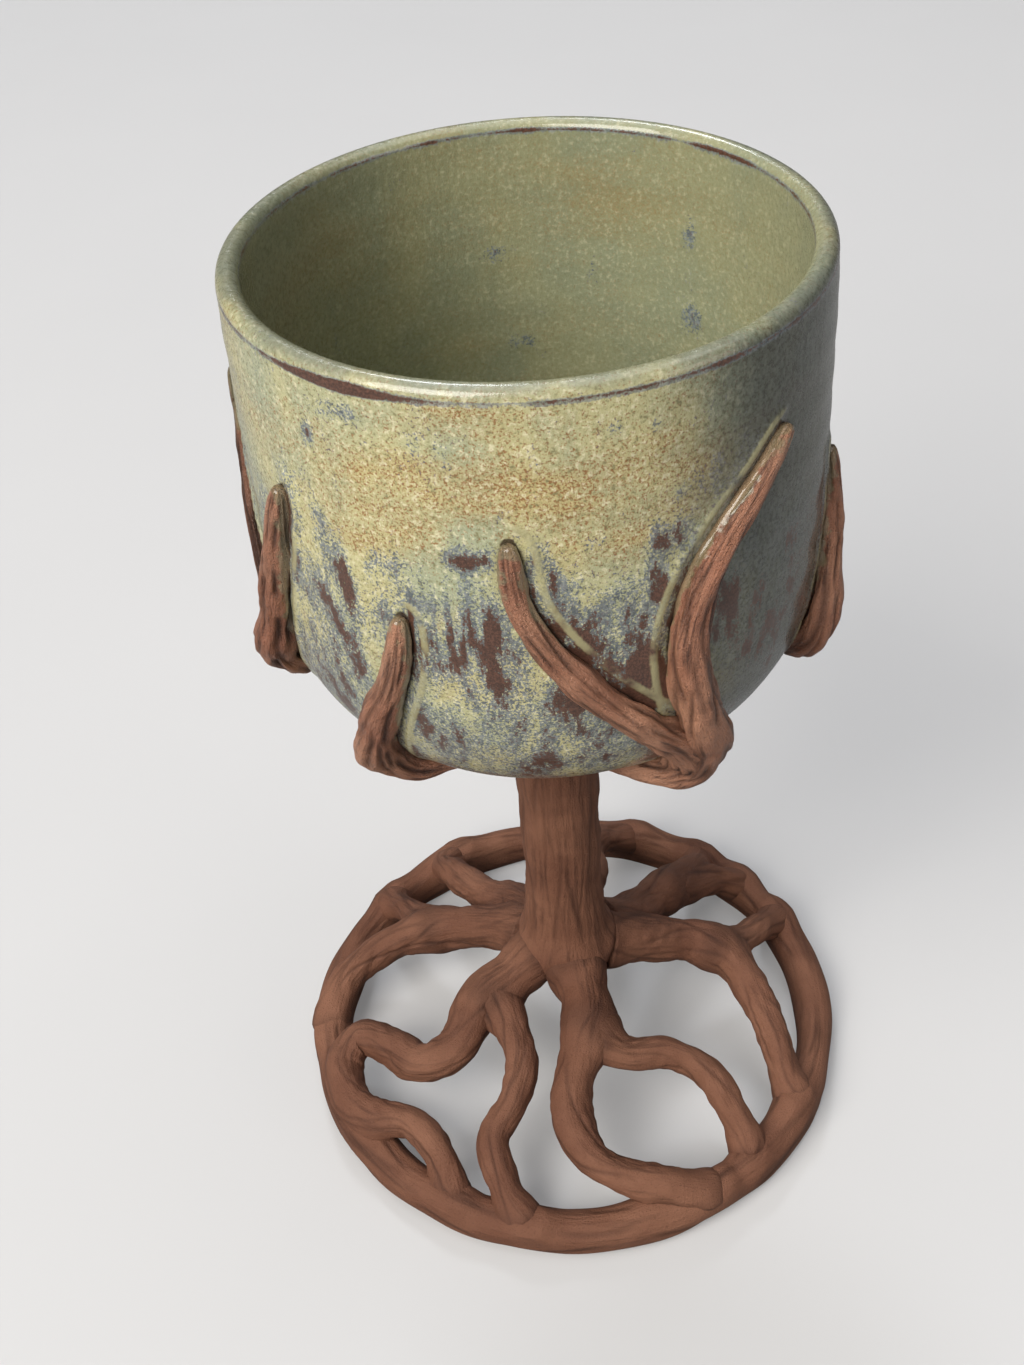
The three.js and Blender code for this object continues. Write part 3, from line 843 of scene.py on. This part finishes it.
branch_lines = {name: branch_line(*facts) for name, facts in BRANCHES.items()}
print("laid out", len(branch_lines), "branches")

# %% [markdown]
# The trunk and the ring are coils too: one straight up, flared at both ends, and one closed
# on itself and a little thicker towards the back.

# %% Trunk and ring lines
TRUNK_FOOT_FLARE = 1.45
TRUNK_FOOT_FLARE_SHARE = 0.38
TRUNK_TOP_FLARE = 1.25
TRUNK_TOP_FLARE_POWER = 6
TRUNK_STEP = 0.6

trunk_along = np.arange(0.0, CUP_BASE - TRUNK_FOOT, TRUNK_STEP)
trunk_share = trunk_along / trunk_along[-1]
trunk_radius = TRUNK_RADIUS * (
    1
    + (TRUNK_FOOT_FLARE - 1) * np.maximum(0, 1 - trunk_share / TRUNK_FOOT_FLARE_SHARE) ** 2
    + (TRUNK_TOP_FLARE - 1) * trunk_share ** TRUNK_TOP_FLARE_POWER
)
trunk_line = polar(0.0, 0.0, TRUNK_FOOT + trunk_along)

RING_STEPS = 420
RING_UNEVENNESS = 0.05
RING_LUMPS = 7
RING_BACK_SWELL = 0.1
ring_turn = np.linspace(0.0, 360.0, RING_STEPS, endpoint=False)
ring_line = polar(RING_RADIUS, ring_turn, RING_AXIS)
ring_along = np.radians(ring_turn) * RING_RADIUS
ring_radius = RING_COIL_RADIUS * (1 + RING_UNEVENNESS * np.sin(np.radians(RING_LUMPS * ring_turn)))
ring_rise = 1 + RING_BACK_SWELL * (1 + np.sin(np.radians(ring_turn)))
print("trunk of", len(trunk_along), "rows, ring of", RING_STEPS)

# %% [markdown]
# ## Building the pieces
# Roots are rolled between the palms, bent while they are soft, and luted to the trunk and
# the ring. A curve with a bevel would give the bend but no finger marks, so each root is a
# grid: swept along its line, lumped, scored, and then swollen towards everything that it is
# luted to. Its tip sinks a little into the ring, where a thumb pressed it down.

# %% Roots
ROOT_COLUMNS = 88
ROOT_FILLET = 6.0
ROOT_LUMP = 0.28
ROOT_LINES = {"count": 9, "width": 0.4, "depth": 0.28, "wander": 0.5, "run": (16, 60)}
ROOT_LINE_SHADE = 0.6
ROOT_SEED = 100
CROWN_GIRTH = 0.8
TIP_GIRTH = 0.96
ROOT_POINT = 1.7
ROOT_SINK = 3.4
ROOT_SINK_RUN = 15.0
JOINT_SHADE = 0.45
JOINT_SHADE_START = 0.35
SKYWARD = np.array([0.0, 0.0, 1.0])

trunk_coil = (trunk_line, trunk_radius)
foot_coils = {name: (line, radius) for name, (line, _, radius) in root_lines.items()}
foot_coils["trunk"] = trunk_coil
foot_coils["foot_ring"] = (ring_line, ring_radius)


def joint_swell(points, own, fillet, coils):
    """Largest swelling towards any other coil."""
    total = np.zeros(points.shape[:-1])
    for name, (line, radius) in coils.items():
        if name != own:
            total = np.maximum(total, swell(coil_gap(points, line, radius), fillet))
    return total


def joint_shade(joint, fillet):
    """Painted shade in the corner of a joint, from the swelling there over its most."""
    return JOINT_SHADE * smoothstep(JOINT_SHADE_START, 1.0, joint / (fillet / 4))


def build_root(name, seed):
    """One root with its creases and its luted joints."""
    line, along, radius = root_lines[name]
    drawn = rounded_end(along, radius, ROOT_POINT)
    sink = ROOT_SINK * smoothstep(along[-1] - ROOT_SINK_RUN, along[-1], along)
    line = line - SKYWARD * sink[:, None]
    girth_share = CROWN_GIRTH + (TIP_GIRTH - CROWN_GIRTH) * along / along[-1]
    points, push, theta = swept_grid(line, SKYWARD, drawn * girth_share, ROOT_COLUMNS)
    cut = creases(theta, along, 2 * math.pi * radius.mean(), seed, **ROOT_LINES)
    relief = (lumps(theta, along, ROOT_LUMP, seed) - cut) * (drawn / radius)[:, None]
    points = points + push * relief[..., None]
    joint = joint_swell(points, name, ROOT_FILLET, foot_coils)
    points = points + push * joint[..., None]
    # painted shade in the scored lines and in the joint corners
    scored_line_shade = ROOT_LINE_SHADE * cut / ROOT_LINES["depth"]
    crease = np.clip(scored_line_shade + joint_shade(joint, ROOT_FILLET), 0, 1)
    grain = grain_of(theta, along, radius)
    make_piece(name, points, "root_clay", root_clay, grain=grain, crease=crease)


for order, name in enumerate(ROOTS):
    build_root(name, ROOT_SEED + order)

# %% [markdown]
# The foot ring is one rolled coil, joined end to end and pressed flat where it stands. A
# torus would be too even, so it is a grid like the roots, a little thicker at the back, with
# long lumps and a finer ripple. Its points are held inside the solid's radius and above the
# table, and its creases fade out at the seam.

# %% Foot ring
RING_COLUMNS = 72
RING_LINES = {"count": 7, "width": 0.5, "depth": 0.3, "wander": 0.35, "run": (14, 48)}
RING_SEED = 7
RING_SEAM_EASE = 12.0
RING_LUMP = 0.18
RING_LUMP_COUNT = 9
RING_RIPPLE = 0.15
RING_RIPPLE_COUNT = 17


def build_ring():
    """The coiled ring, a circle swung round the axis, flat underneath."""
    theta = np.linspace(0.0, 2 * math.pi, RING_COLUMNS, endpoint=False)
    side = polar(1.0, ring_turn, 0.0)[:, None, :]
    push = SKYWARD * np.cos(theta)[None, :, None] + side * np.sin(theta)[None, :, None]
    thickness = np.stack([ring_radius, ring_radius, ring_radius * ring_rise], axis=-1)
    points = ring_line[:, None, :] + push * thickness[:, None, :]
    from_seam = np.minimum(ring_turn, 360 - ring_turn)
    cut = creases(theta, ring_along, 2 * math.pi * RING_COIL_RADIUS, RING_SEED, **RING_LINES)
    cut = cut * np.clip(from_seam / RING_SEAM_EASE, 0, 1)[:, None]
    angle = np.radians(ring_turn)[:, None]
    lump = RING_LUMP * np.sin(RING_LUMP_COUNT * angle + 1)
    ripple = RING_RIPPLE * np.sin(RING_RIPPLE_COUNT * angle + 2 * theta)
    points = points + push * (lump + ripple - cut)[..., None]
    joint = joint_swell(points, "foot_ring", ROOT_FILLET, foot_coils)
    points = points + push * joint[..., None]
    reach = np.hypot(points[..., 0], points[..., 1])
    points[..., :2] *= np.minimum(1.0, RING_OUTER / reach)[..., None]
    points[..., 2] = np.maximum(points[..., 2], 0.0)
    grain = grain_of(theta, np.radians(from_seam) * RING_RADIUS, ring_radius)
    # painted shade in the scored lines
    crease = cut / RING_LINES["depth"]
    make_piece("foot_ring", points, "root_clay", root_clay, wrap=True, grain=grain, crease=crease)


build_ring()

# %% [markdown]
# The trunk is a thick coil, scored all round like bark with wide lines and finer ones
# between them. It could be a lathe shape with a bump, but bark shows on the outline too.
# The lines fade near the foot, which tucks in under the roots.

# %% Trunk
TRUNK_COLUMNS = 200
TRUNK_TUCK = 13.0
TRUNK_TUCK_LEFT = 0.01
TRUNK_FILLET = 4.5
TRUNK_LUMP = 0.15
BARK_LINES = {"count": 13, "width": 0.6, "depth": 0.28, "wander": 0.14, "run": (40, 120)}
FINE_BARK_LINES = {"count": 40, "width": 0.28, "depth": 0.18, "wander": 0.06, "run": (30, 90)}
BARK_SEED = 31
FINE_BARK_SEED = 32
TRUNK_LUMP_SEED = 33
BARK_START = 8.0
BARK_FULL = 24.0
BARK_DARKEST = 0.5

branch_coils = {name: (line, radius) for name, (line, _, radius) in branch_lines.items()}


def build_trunk():
    """The scored stem, swollen where roots and branches leave it."""
    tuck = 1 - np.clip(trunk_along / TRUNK_TUCK, 0.0, 1.0)
    drawn = trunk_radius * np.sqrt(np.maximum(1 - tuck ** 2, TRUNK_TUCK_LEFT))
    points, push, theta = swept_grid(trunk_line, np.array([1.0, 0.0, 0.0]), drawn, TRUNK_COLUMNS)
    girth = 2 * math.pi * TRUNK_RADIUS
    wide_cut = creases(theta, trunk_along, girth, BARK_SEED, **BARK_LINES)
    fine_cut = creases(theta, trunk_along, girth, FINE_BARK_SEED, **FINE_BARK_LINES)
    cut = np.maximum(wide_cut, fine_cut) * smoothstep(BARK_START, BARK_FULL, trunk_along)[:, None]
    relief = lumps(theta, trunk_along, TRUNK_LUMP, TRUNK_LUMP_SEED) - cut
    points = points + push * relief[..., None]
    joint = joint_swell(points, "trunk", TRUNK_FILLET, {**foot_coils, **branch_coils})
    points = points + push * joint[..., None]
    grain = grain_of(theta, trunk_along, trunk_radius)
    # painted shade in the bark lines
    make_piece("trunk", points, "bark_clay", bark_clay, grain=grain, crease=cut / BARK_DARKEST)


build_trunk()

# %% [markdown]
# Branches are coils that were pressed on to the wall, so they are a little wider than they
# are high, deeply grooved, and drawn out to a point. They are swept like the roots, but
# their outward direction is the cup's, so that the flat side lies on the glaze. The wet mark
# says where glaze ran over an edge, near the wall and towards the tip.

# %% Branches
BRANCH_COLUMNS = 88
BRANCH_WIDTH = 1.06
BRANCH_LUMP = 0.28
BRANCH_LINES = {"count": 13, "width": 0.36, "depth": 0.72, "wander": 0.3, "run": (10, 40)}
BRANCH_SEED = 200
BRANCH_FILLET = 3.0
CUP_FILLET = 3.6
BRANCH_POINT = 4.5
TWIG_GIRTH = 0.65
TWIG_SHADE = 0.6
WET_REACH = 1.6
WET_START = 0.45
WET_FULL = 0.8


def branch_radius(name):
    """Radius of a branch with its tip drawn to a point, and the twig slimmer still."""
    _, along, radius = branch_lines[name]
    girth = TWIG_GIRTH if name.endswith("twig") else 1.0
    return girth * rounded_end(along, radius, BRANCH_POINT)


def build_branch(name, seed):
    """One branch, pressed on to the cup, with glaze run over its edges."""
    line, along, radius = branch_lines[name]
    drawn = branch_radius(name)
    _, out = nearest_face(line)
    points, push, theta = swept_grid(line, out, drawn, BRANCH_COLUMNS, BRANCH_WIDTH)
    cut = creases(theta, along, 2 * math.pi * radius.mean(), seed, **BRANCH_LINES)
    relief = (lumps(theta, along, BRANCH_LUMP, seed) - cut) * (drawn / radius.max())[:, None]
    points = points + push * relief[..., None]
    joint = joint_swell(points, name, BRANCH_FILLET, {**branch_coils, "trunk": trunk_coil})
    points = points + push * joint[..., None]
    gap, _ = nearest_face(points)
    points = points + push * (swell(gap, CUP_FILLET) * (gap > 0))[..., None]
    towards_tip = smoothstep(WET_START, WET_FULL, along / along[-1])[:, None]
    wet = np.exp(-np.maximum(gap, 0) / WET_REACH) * towards_tip
    # painted shade: the whole twig, its scored lines and its joint corners are darkened
    shade = TWIG_SHADE if name.endswith("twig") else 0.0
    scored_line_shade = cut / BRANCH_LINES["depth"]
    crease = np.clip(shade + scored_line_shade + joint_shade(joint, BRANCH_FILLET), 0, 1)
    grain = grain_of(theta, along, radius)
    make_piece(name, points, "branch_clay", branch_clay, grain=grain, crease=crease, wet=wet)


for order, name in enumerate(BRANCHES):
    build_branch(name, BRANCH_SEED + order)

# %% [markdown]
# ## The cup
# Glaze runs thin where the wall is combed, where a finger touched it and where it drained,
# so the larger thin places are listed ovals, and noise does the rest.

# %% Thin, combed and warm places
# Bearing, height above the cup's base, half width, half height in millimetres, and strength
COMB_PLACE = (-105, 46, 10, 9, 0.22)
LIP_BARE_PLACE = (-125, 81, 10, 1.7, 0.6)
THIN_BELOW_LIP = [
    (-124, 77, 4.5, 1.8, 0.75), (-133, 72, 1.2, 2.2, 0.75), (-102, 76, 2.2, 1.4, 0.55),
    (-99, 71, 2, 2, 0.45), (-77, 76, 1.2, 1.2, 0.65), (-70, 75, 1.2, 1.2, 0.65),
    (-64, 74, 1.2, 1.2, 0.65), (-58, 66, 2, 4, 0.6),
]
THIN_LEFT = [
    (-129, 47, 3, 9.5, 1.2), (-128, 61, 1, 5, 0.5), (-119, 54, 4, 4, 0.85), (-138, 25, 5, 4, 0.65),
    (-124, 37, 2, 4, 0.65), (-115, 33, 2, 6, 0.85), (-112, 18, 9, 3, 0.5),
]
THIN_MIDDLE = [
    (-102, 57, 7.5, 2.8, 0.9), (-92, 57, 2.4, 6, 1), (-102, 27, 5.5, 3.2, 0.8), (-96, 64, 3.2, 2.4, 0.6),
    (-82, 59, 3, 2.6, 0.65), (-89, 54, 2, 5, 0.8), (-83, 20, 9, 3, 0.55),
]
THIN_IN_FORK = [
    (-67, 57, 4.5, 4, 1), (-70, 50, 3, 7, 0.9), (-72, 33, 5, 9, 1.6), (-84, 43, 6, 7, 0.75),
    (-66, 64, 2, 2, 0.5),
]
THIN_BEHIND = [
    (170, 44, 5, 9, 0.8), (105, 40, 6, 9, 0.9), (62, 50, 5, 8, 0.8), (20, 36, 5, 8, 0.7),
    (128, 70, 6, 2, 0.7), (75, 26, 7, 4, 0.7),
]
THIN_PLACES = THIN_BELOW_LIP + THIN_LEFT + THIN_MIDDLE + THIN_IN_FORK + THIN_BEHIND
WARM_PLACES = [
    (-95, 69, 26, 11, 1), (-68, 65, 16, 9, 0.8), (-118, 60, 14, 9, 0.6), (-90, 45, 20, 10, 0.5),
    (150, 66, 24, 10, 0.9), (70, 68, 22, 9, 0.9),
]
INNER_PLACES = [
    (97, 60, 3, 2, 1), (92, 43, 3, 2, 1), (47, 51, 2.5, 3, 0.85), (49, 66, 2, 2.5, 0.75),
    (140, 38, 4, 2, 0.9), (-60, 30, 4, 3, 0.9),
]


def turned(first, second):
    """Angle from the second bearing to the first, between -180 and 180 degrees."""
    return (first - second + 180) % 360 - 180


def patch(bearing, height, place):
    """A soft oval on the wall: a bell curve across and up, times its strength."""
    middle, level, half_width, half_height, strength = place
    across = np.radians(turned(bearing, middle)) * CUP_RADIUS / half_width
    up_wall = (height - CUP_BASE - level) / half_height
    return strength * np.exp(-(across ** 2)[None, :] - (up_wall ** 2)[:, None])


def patches_over(bearing, height, places):
    """The strongest of several soft ovals at each point of the wall."""
    return np.max([patch(bearing, height, place) for place in places], axis=0)


print("placed", len(THIN_PLACES) + len(INNER_PLACES), "thin places and", len(WARM_PLACES), "warm ones")

# %% [markdown]
# The cup is turned on the wheel, so its skin is a profile swung round the axis. A spin or a
# Screw modifier would do the same, but a grid keeps each point's bearing and height for the
# glaze. The rows stand at equal steps along the profile, and the columns stand closer
# together at the front, where more is seen.

# %% Cup profile
LIP_THICKNESS = 3.5
FLOOR_THICKNESS = 5.0
OUTER_ROWS = 188
LIP_ROWS = 19
INNER_ROWS = 56
POLE_CLIMB = 0.02
LIP_CLIMB_OUTSIDE = 1.955
LIP_CLIMB_INSIDE = 1.9
TRIAL_CLIMBS = 20000
CUP_COLUMNS = 366
FRONT_BEARING = -95.0
FRONT_CROWDING = 0.36


def even_climbs(first, last, count, inset, base):
    """Climbs that stand at equal steps along the face."""
    climb = np.linspace(first, last, TRIAL_CLIMBS)
    radius, height = cup_face(climb, inset, base)
    length = np.concatenate([[0.0], np.cumsum(np.hypot(np.diff(radius), np.diff(height)))])
    return np.interp(np.linspace(0.0, length[-1], count), length, climb)


def cup_profile():
    """Radius and height from the underside over the lip and down to the inner floor, and a
    mark that climbs from 0 outside to 1 inside."""
    outer_climb = even_climbs(POLE_CLIMB, LIP_CLIMB_OUTSIDE, OUTER_ROWS, 0.0, CUP_BASE)
    outer_r, outer_z = cup_face(outer_climb)
    round_radius = LIP_THICKNESS / 2
    bend = np.linspace(0.0, math.pi, LIP_ROWS)
    lip_r = CUP_RADIUS - WALL_SWELL - round_radius + round_radius * np.cos(bend)
    lip_z = LIP_TOP - round_radius + round_radius * np.sin(bend)
    inner_floor = CUP_BASE + FLOOR_THICKNESS
    inner_climb = even_climbs(LIP_CLIMB_INSIDE, POLE_CLIMB, INNER_ROWS, LIP_THICKNESS, inner_floor)
    inner_r, inner_z = cup_face(inner_climb, LIP_THICKNESS, inner_floor)
    radius = np.concatenate([outer_r, lip_r, inner_r])
    height = np.concatenate([outer_z, lip_z, inner_z])
    over_lip = smoothstep(-0.1, 0.8, bend / math.pi)
    inside = np.concatenate([np.zeros(len(outer_r)), over_lip, np.ones(len(inner_r))])
    return radius, height, inside


def crowded_bearings():
    """Bearings all round that stand closer together at the front: an even turn, less a sine
    of the angle from the front."""
    even = np.linspace(-180.0, 180.0, CUP_COLUMNS, endpoint=False)
    return even - np.degrees(FRONT_CROWDING * np.sin(np.radians(even - FRONT_BEARING)))


print("profile of", len(cup_profile()[0]), "rows")

# %% [markdown]
# Along one side of each branch, the slip that fixed it leaves a groove and a ridge. The
# glaze is thin there, and painted shade darkens the corner where each branch meets the wall.

# %% Marks beside the branches
WELD_GAP = 2.7
WELD_WIDTH = 0.8
WELD_THIN_REACH = 5.0
UNLUTED_THIN = 0.25
LUTED_FROM = -1.0
LUTED_TO = 2.0
LEFT_WELDED = ["branch_right_front", "branch_right"]
FAR = 99.0


def branch_gaps(points, bearing):
    """Gap to the nearest branch, a bell-shaped ridge at a set gap from it on the side that was
    luted, and thin glaze that thickens again with the gap."""
    nearest = np.full(points.shape[:-1], FAR)
    ridge = np.zeros_like(nearest)
    thin = np.zeros_like(nearest)
    for name, (line, _) in branch_coils.items():
        gap = coil_gap(points, line, branch_radius(name))
        upward = np.argsort(line[:, 2])
        home = np.degrees(np.arctan2(line[:, 1], line[:, 0]))[upward]
        beside = turned(bearing[None, :], np.interp(points[..., 2], line[upward, 2], home))
        hand = -1.0 if name in LEFT_WELDED else 1.0
        luted = smoothstep(LUTED_FROM, LUTED_TO, hand * beside)
        share = UNLUTED_THIN + (1 - UNLUTED_THIN) * luted
        ridge = np.maximum(ridge, luted * np.exp(-((gap - WELD_GAP) / WELD_WIDTH) ** 2))
        thin = np.maximum(thin, share * np.exp(-np.maximum(gap, 0) / WELD_THIN_REACH))
        nearest = np.minimum(nearest, gap)
    return nearest, ridge, thin


print("marks are ready for", len(branch_coils), "branches")

# %% [markdown]
# The cup is then built: the swung profile, faint throwing rings, a rim that is not quite
# round, and the weld ridges. The side away from the window has a cooler glaze with painted
# shade laid over it, and the underside and the inner left wall get painted shade as well.

# %% Cup
# Heights are above the cup's base, and depths below the lip
THROWING_RING = 0.05
THROWING_PITCH = 7.5
OUT_OF_ROUND = 0.25
RELIEF_HEIGHTS = (8.0, 22.0)
RELIEF_DEPTHS = (2.0, 8.0)
WELD_RIDGE = 0.45
POOL_GAP = 0.2
POOL_WIDTH = 0.65
POOL_DEPTH = 0.3
LOW_WALL_THIN = 0.74
LOW_WALL_HEIGHTS = (68.0, 40.0)
LIP_WEAR = 0.87
LIP_WEAR_OUTSIDE = (2.0, 0.8)
LIP_WEAR_INSIDE = (1.4, 0.7)
# Painted shade over a cooler glaze on the side away from the window, and painted shade under the belly and
# on the inner left wall
COOL_SHADE_BEARING = -10.0
COOL_SHADE_CORE = 36.0
COOL_SHADE_REACH = 66.0
PAINTED_SHADE_BELOW = 0.7
PAINTED_SHADE_BELOW_HEIGHTS = (13.0, 3.0)
PAINTED_SHADE_INSIDE = 0.45
PAINTED_SHADE_INSIDE_BEARING = 185.0
PAINTED_SHADE_INSIDE_CORE = 25.0
PAINTED_SHADE_INSIDE_REACH = 75.0


def climbing(height, heights):
    """0 at the first height above the cup's base, 1 at the second, smooth between."""
    return smoothstep(CUP_BASE + heights[0], CUP_BASE + heights[1], height)


def worn_edge(height, depth, width):
    """A bell curve at a depth below the lip."""
    return np.exp(-((height - (LIP_TOP - depth)) / width) ** 2)


def cup_relief(height, bearing, ridge, pool):
    """Millimetres outward: throwing rings and an oval on the wall, weld ridges, pooled corners."""
    turn = np.radians(bearing)[None, :]
    below_lip = smoothstep(LIP_TOP - RELIEF_DEPTHS[0], LIP_TOP - RELIEF_DEPTHS[1], height)
    wall = climbing(height, RELIEF_HEIGHTS) * below_lip
    rings = THROWING_RING * np.sin(2 * math.pi * height[:, None] / THROWING_PITCH + turn)
    oval = OUT_OF_ROUND * np.cos(2 * turn + 0.6)
    return (rings + oval) * wall[:, None] + WELD_RIDGE * ridge - POOL_DEPTH * pool


def cool_glaze(height, bearing, outer):
    """How cool the glaze is and how much painted shade lies on it: the side away from the window,
    the underside, and the inner left wall across.
    """
    off_side = np.abs(turned(bearing, COOL_SHADE_BEARING))[None, :]
    off_inside = np.abs(turned(bearing, PAINTED_SHADE_INSIDE_BEARING))[None, :]
    below = PAINTED_SHADE_BELOW * climbing(height, PAINTED_SHADE_BELOW_HEIGHTS)[:, None]
    outside = np.maximum(smoothstep(COOL_SHADE_REACH, COOL_SHADE_CORE, off_side), below)
    across = PAINTED_SHADE_INSIDE * smoothstep(PAINTED_SHADE_INSIDE_REACH, PAINTED_SHADE_INSIDE_CORE, off_inside)
    return outer * outside + (1 - outer) * across


def build_cup():
    """The thrown cup with throwing rings, weld ridges and its glaze marks."""
    radius, height, inside = cup_profile()
    bearing = crowded_bearings()
    points = polar(radius[:, None], bearing[None, :], height[:, None])
    outer = (1 - inside)[:, None]
    gap, ridge, thin = branch_gaps(points, bearing)
    ridge = ridge * outer
    pool = outer * np.exp(-((gap - POOL_GAP) / POOL_WIDTH) ** 2)
    outward = polar(1.0, bearing, 0.0)[None, :, :]
    points = points + outward * cup_relief(height, bearing, ridge, pool)[..., None]

    low_wall = LOW_WALL_THIN * climbing(height, LOW_WALL_HEIGHTS)[:, None]
    outer_thin = np.maximum(np.maximum(thin, low_wall), patches_over(bearing, height, THIN_PLACES))
    thin = outer * outer_thin + (1 - outer) * patches_over(bearing, height, INNER_PLACES)
    edge_out = worn_edge(height, *LIP_WEAR_OUTSIDE) * (1 - inside)
    edge_in = worn_edge(height, *LIP_WEAR_INSIDE) * inside
    lip = LIP_WEAR * (edge_out + edge_in)[:, None] + outer * patch(bearing, height, LIP_BARE_PLACE)
    make_piece(
        "cup", points, "glaze", glaze,
        poles=np.array([[0.0, 0.0, CUP_BASE], [0.0, 0.0, CUP_BASE + FLOOR_THICKNESS]]),
        inside=np.broadcast_to(inside[:, None], gap.shape), thin=thin,
        comb=outer * patch(bearing, height, COMB_PLACE), lip=lip, pool=pool, weld=ridge,
        cool=cool_glaze(height, bearing, outer), warm=patches_over(bearing, height, WARM_PLACES),
    )


build_cup()

# %% [markdown]
# ## Floor and light
# A pale paper floor carries the soft shadow. It looks white because the camera's own rays
# see a paler, faintly glowing paper, and a little of that shows in the gloss as well, while
# all other rays meet a grey one, so that the floor throws little light up at the clay.

# %% Floor
FLOOR_HALF = 3.0
FLOOR_GLOW = 0.16
FLOOR_IN_GLOSS = 0.15
PAPER_MOTTLE = (1.0, 0.01, 2.0, 0.55)


def build_floor():
    """A plain sheet under the foot, white to the eye but with little light thrown back up."""
    corners = np.array([[-1, -1, 0], [1, -1, 0], [1, 1, 0], [-1, 1, 0]]) * FLOOR_HALF
    mesh = bpy.data.meshes.new("floor")
    mesh.from_pydata(corners.tolist(), [], [[0, 1, 2, 3]])
    material, tree, shader = new_material("pale matte paper sweep")
    camera_ray = add_node(tree, "ShaderNodeLightPath", {}, "Is Camera Ray")
    glossy_ray = add_node(tree, "ShaderNodeLightPath", {}, "Is Glossy Ray")
    seen = weighed(tree, (camera_ray, 1), (glossy_ray, FLOOR_IN_GLOSS))
    [mottle] = patterns(tree, place_in_mm(tree), [PAPER_MOTTLE])
    paper = coated(tree, linear("#bcbcbd"), [(mottle, linear("#b8b8b9"))])
    tree.links.new(coated(tree, linear("#808080"), [(seen, paper)]), shader.inputs["Base Color"])
    tree.links.new(weighed(tree, (seen, FLOOR_GLOW)), shader.inputs["Emission Strength"])
    shader.inputs["Emission Color"].default_value = linear("#fbfbfc")
    shader.inputs["Roughness"].default_value = 0.7
    shader.inputs["Specular IOR Level"].default_value = 0.2
    mesh.materials.append(material)
    floor = bpy.data.objects.new("floor", mesh)
    bpy.context.scene.collection.objects.link(floor)
    print("floor of", 2 * FLOOR_HALF, "metres")


build_floor()

# %% [markdown]
# A large soft lamp stands at the front left like a window, another hangs above, a small one
# at the back draws a bright line along the lip, a weak one lights the shaded side of the
# foot, and a faint even sky fills the rest. Soft lamps are large squares, because the
# shadows of a small lamp would be hard.

# %% Lights


def soft_lamp(name, place, target, size, power, colour):
    """A square soft lamp that faces a target, with places and size in metres and power in watts."""
    lamp = bpy.data.lights.new(name, "AREA")
    lamp.size = size
    lamp.energy = power
    lamp.color = linear(colour)[:3]
    thing = bpy.data.objects.new(name, lamp)
    ahead = unit(np.asarray(target, float) - np.asarray(place, float))
    side = unit(np.cross(ahead, [0.0, 0.0, 1.0]))
    rise_axis = np.cross(side, ahead)
    axes = Matrix(np.column_stack([side, rise_axis, -ahead]).tolist()).to_4x4()
    thing.matrix_world = Matrix.Translation(tuple(place)) @ axes
    bpy.context.scene.collection.objects.link(thing)


soft_lamp("window", (-1.3, -1.42, 1.74), (0.0, 0.0, 0.1), 1.7, 86.0, "#fffaf2")
soft_lamp("skylight", (-0.3, 1.5, 1.9), (0.0, 0.0, 0.15), 0.45, 11.0, "#f6faff")
soft_lamp("fill", (1.4, -0.9, 0.5), (0.0, 0.0, 0.05), 0.9, 4.0, "#fff4ea")
soft_lamp("ceiling", (0.2, 0.3, 2.6), (0.0, 0.0, 0.0), 2.4, 26.0, "#fbfcff")
sky = bpy.data.worlds.new("sky")
sky.use_nodes = True
sky.node_tree.nodes["Background"].inputs["Color"].default_value = linear("#e8eef6")
sky.node_tree.nodes["Background"].inputs["Strength"].default_value = 0.1
bpy.context.scene.world = sky
bpy.context.scene.view_settings.view_transform = "Standard"
print("lit by a window, a skylight, a fill, a ceiling and a faint sky")
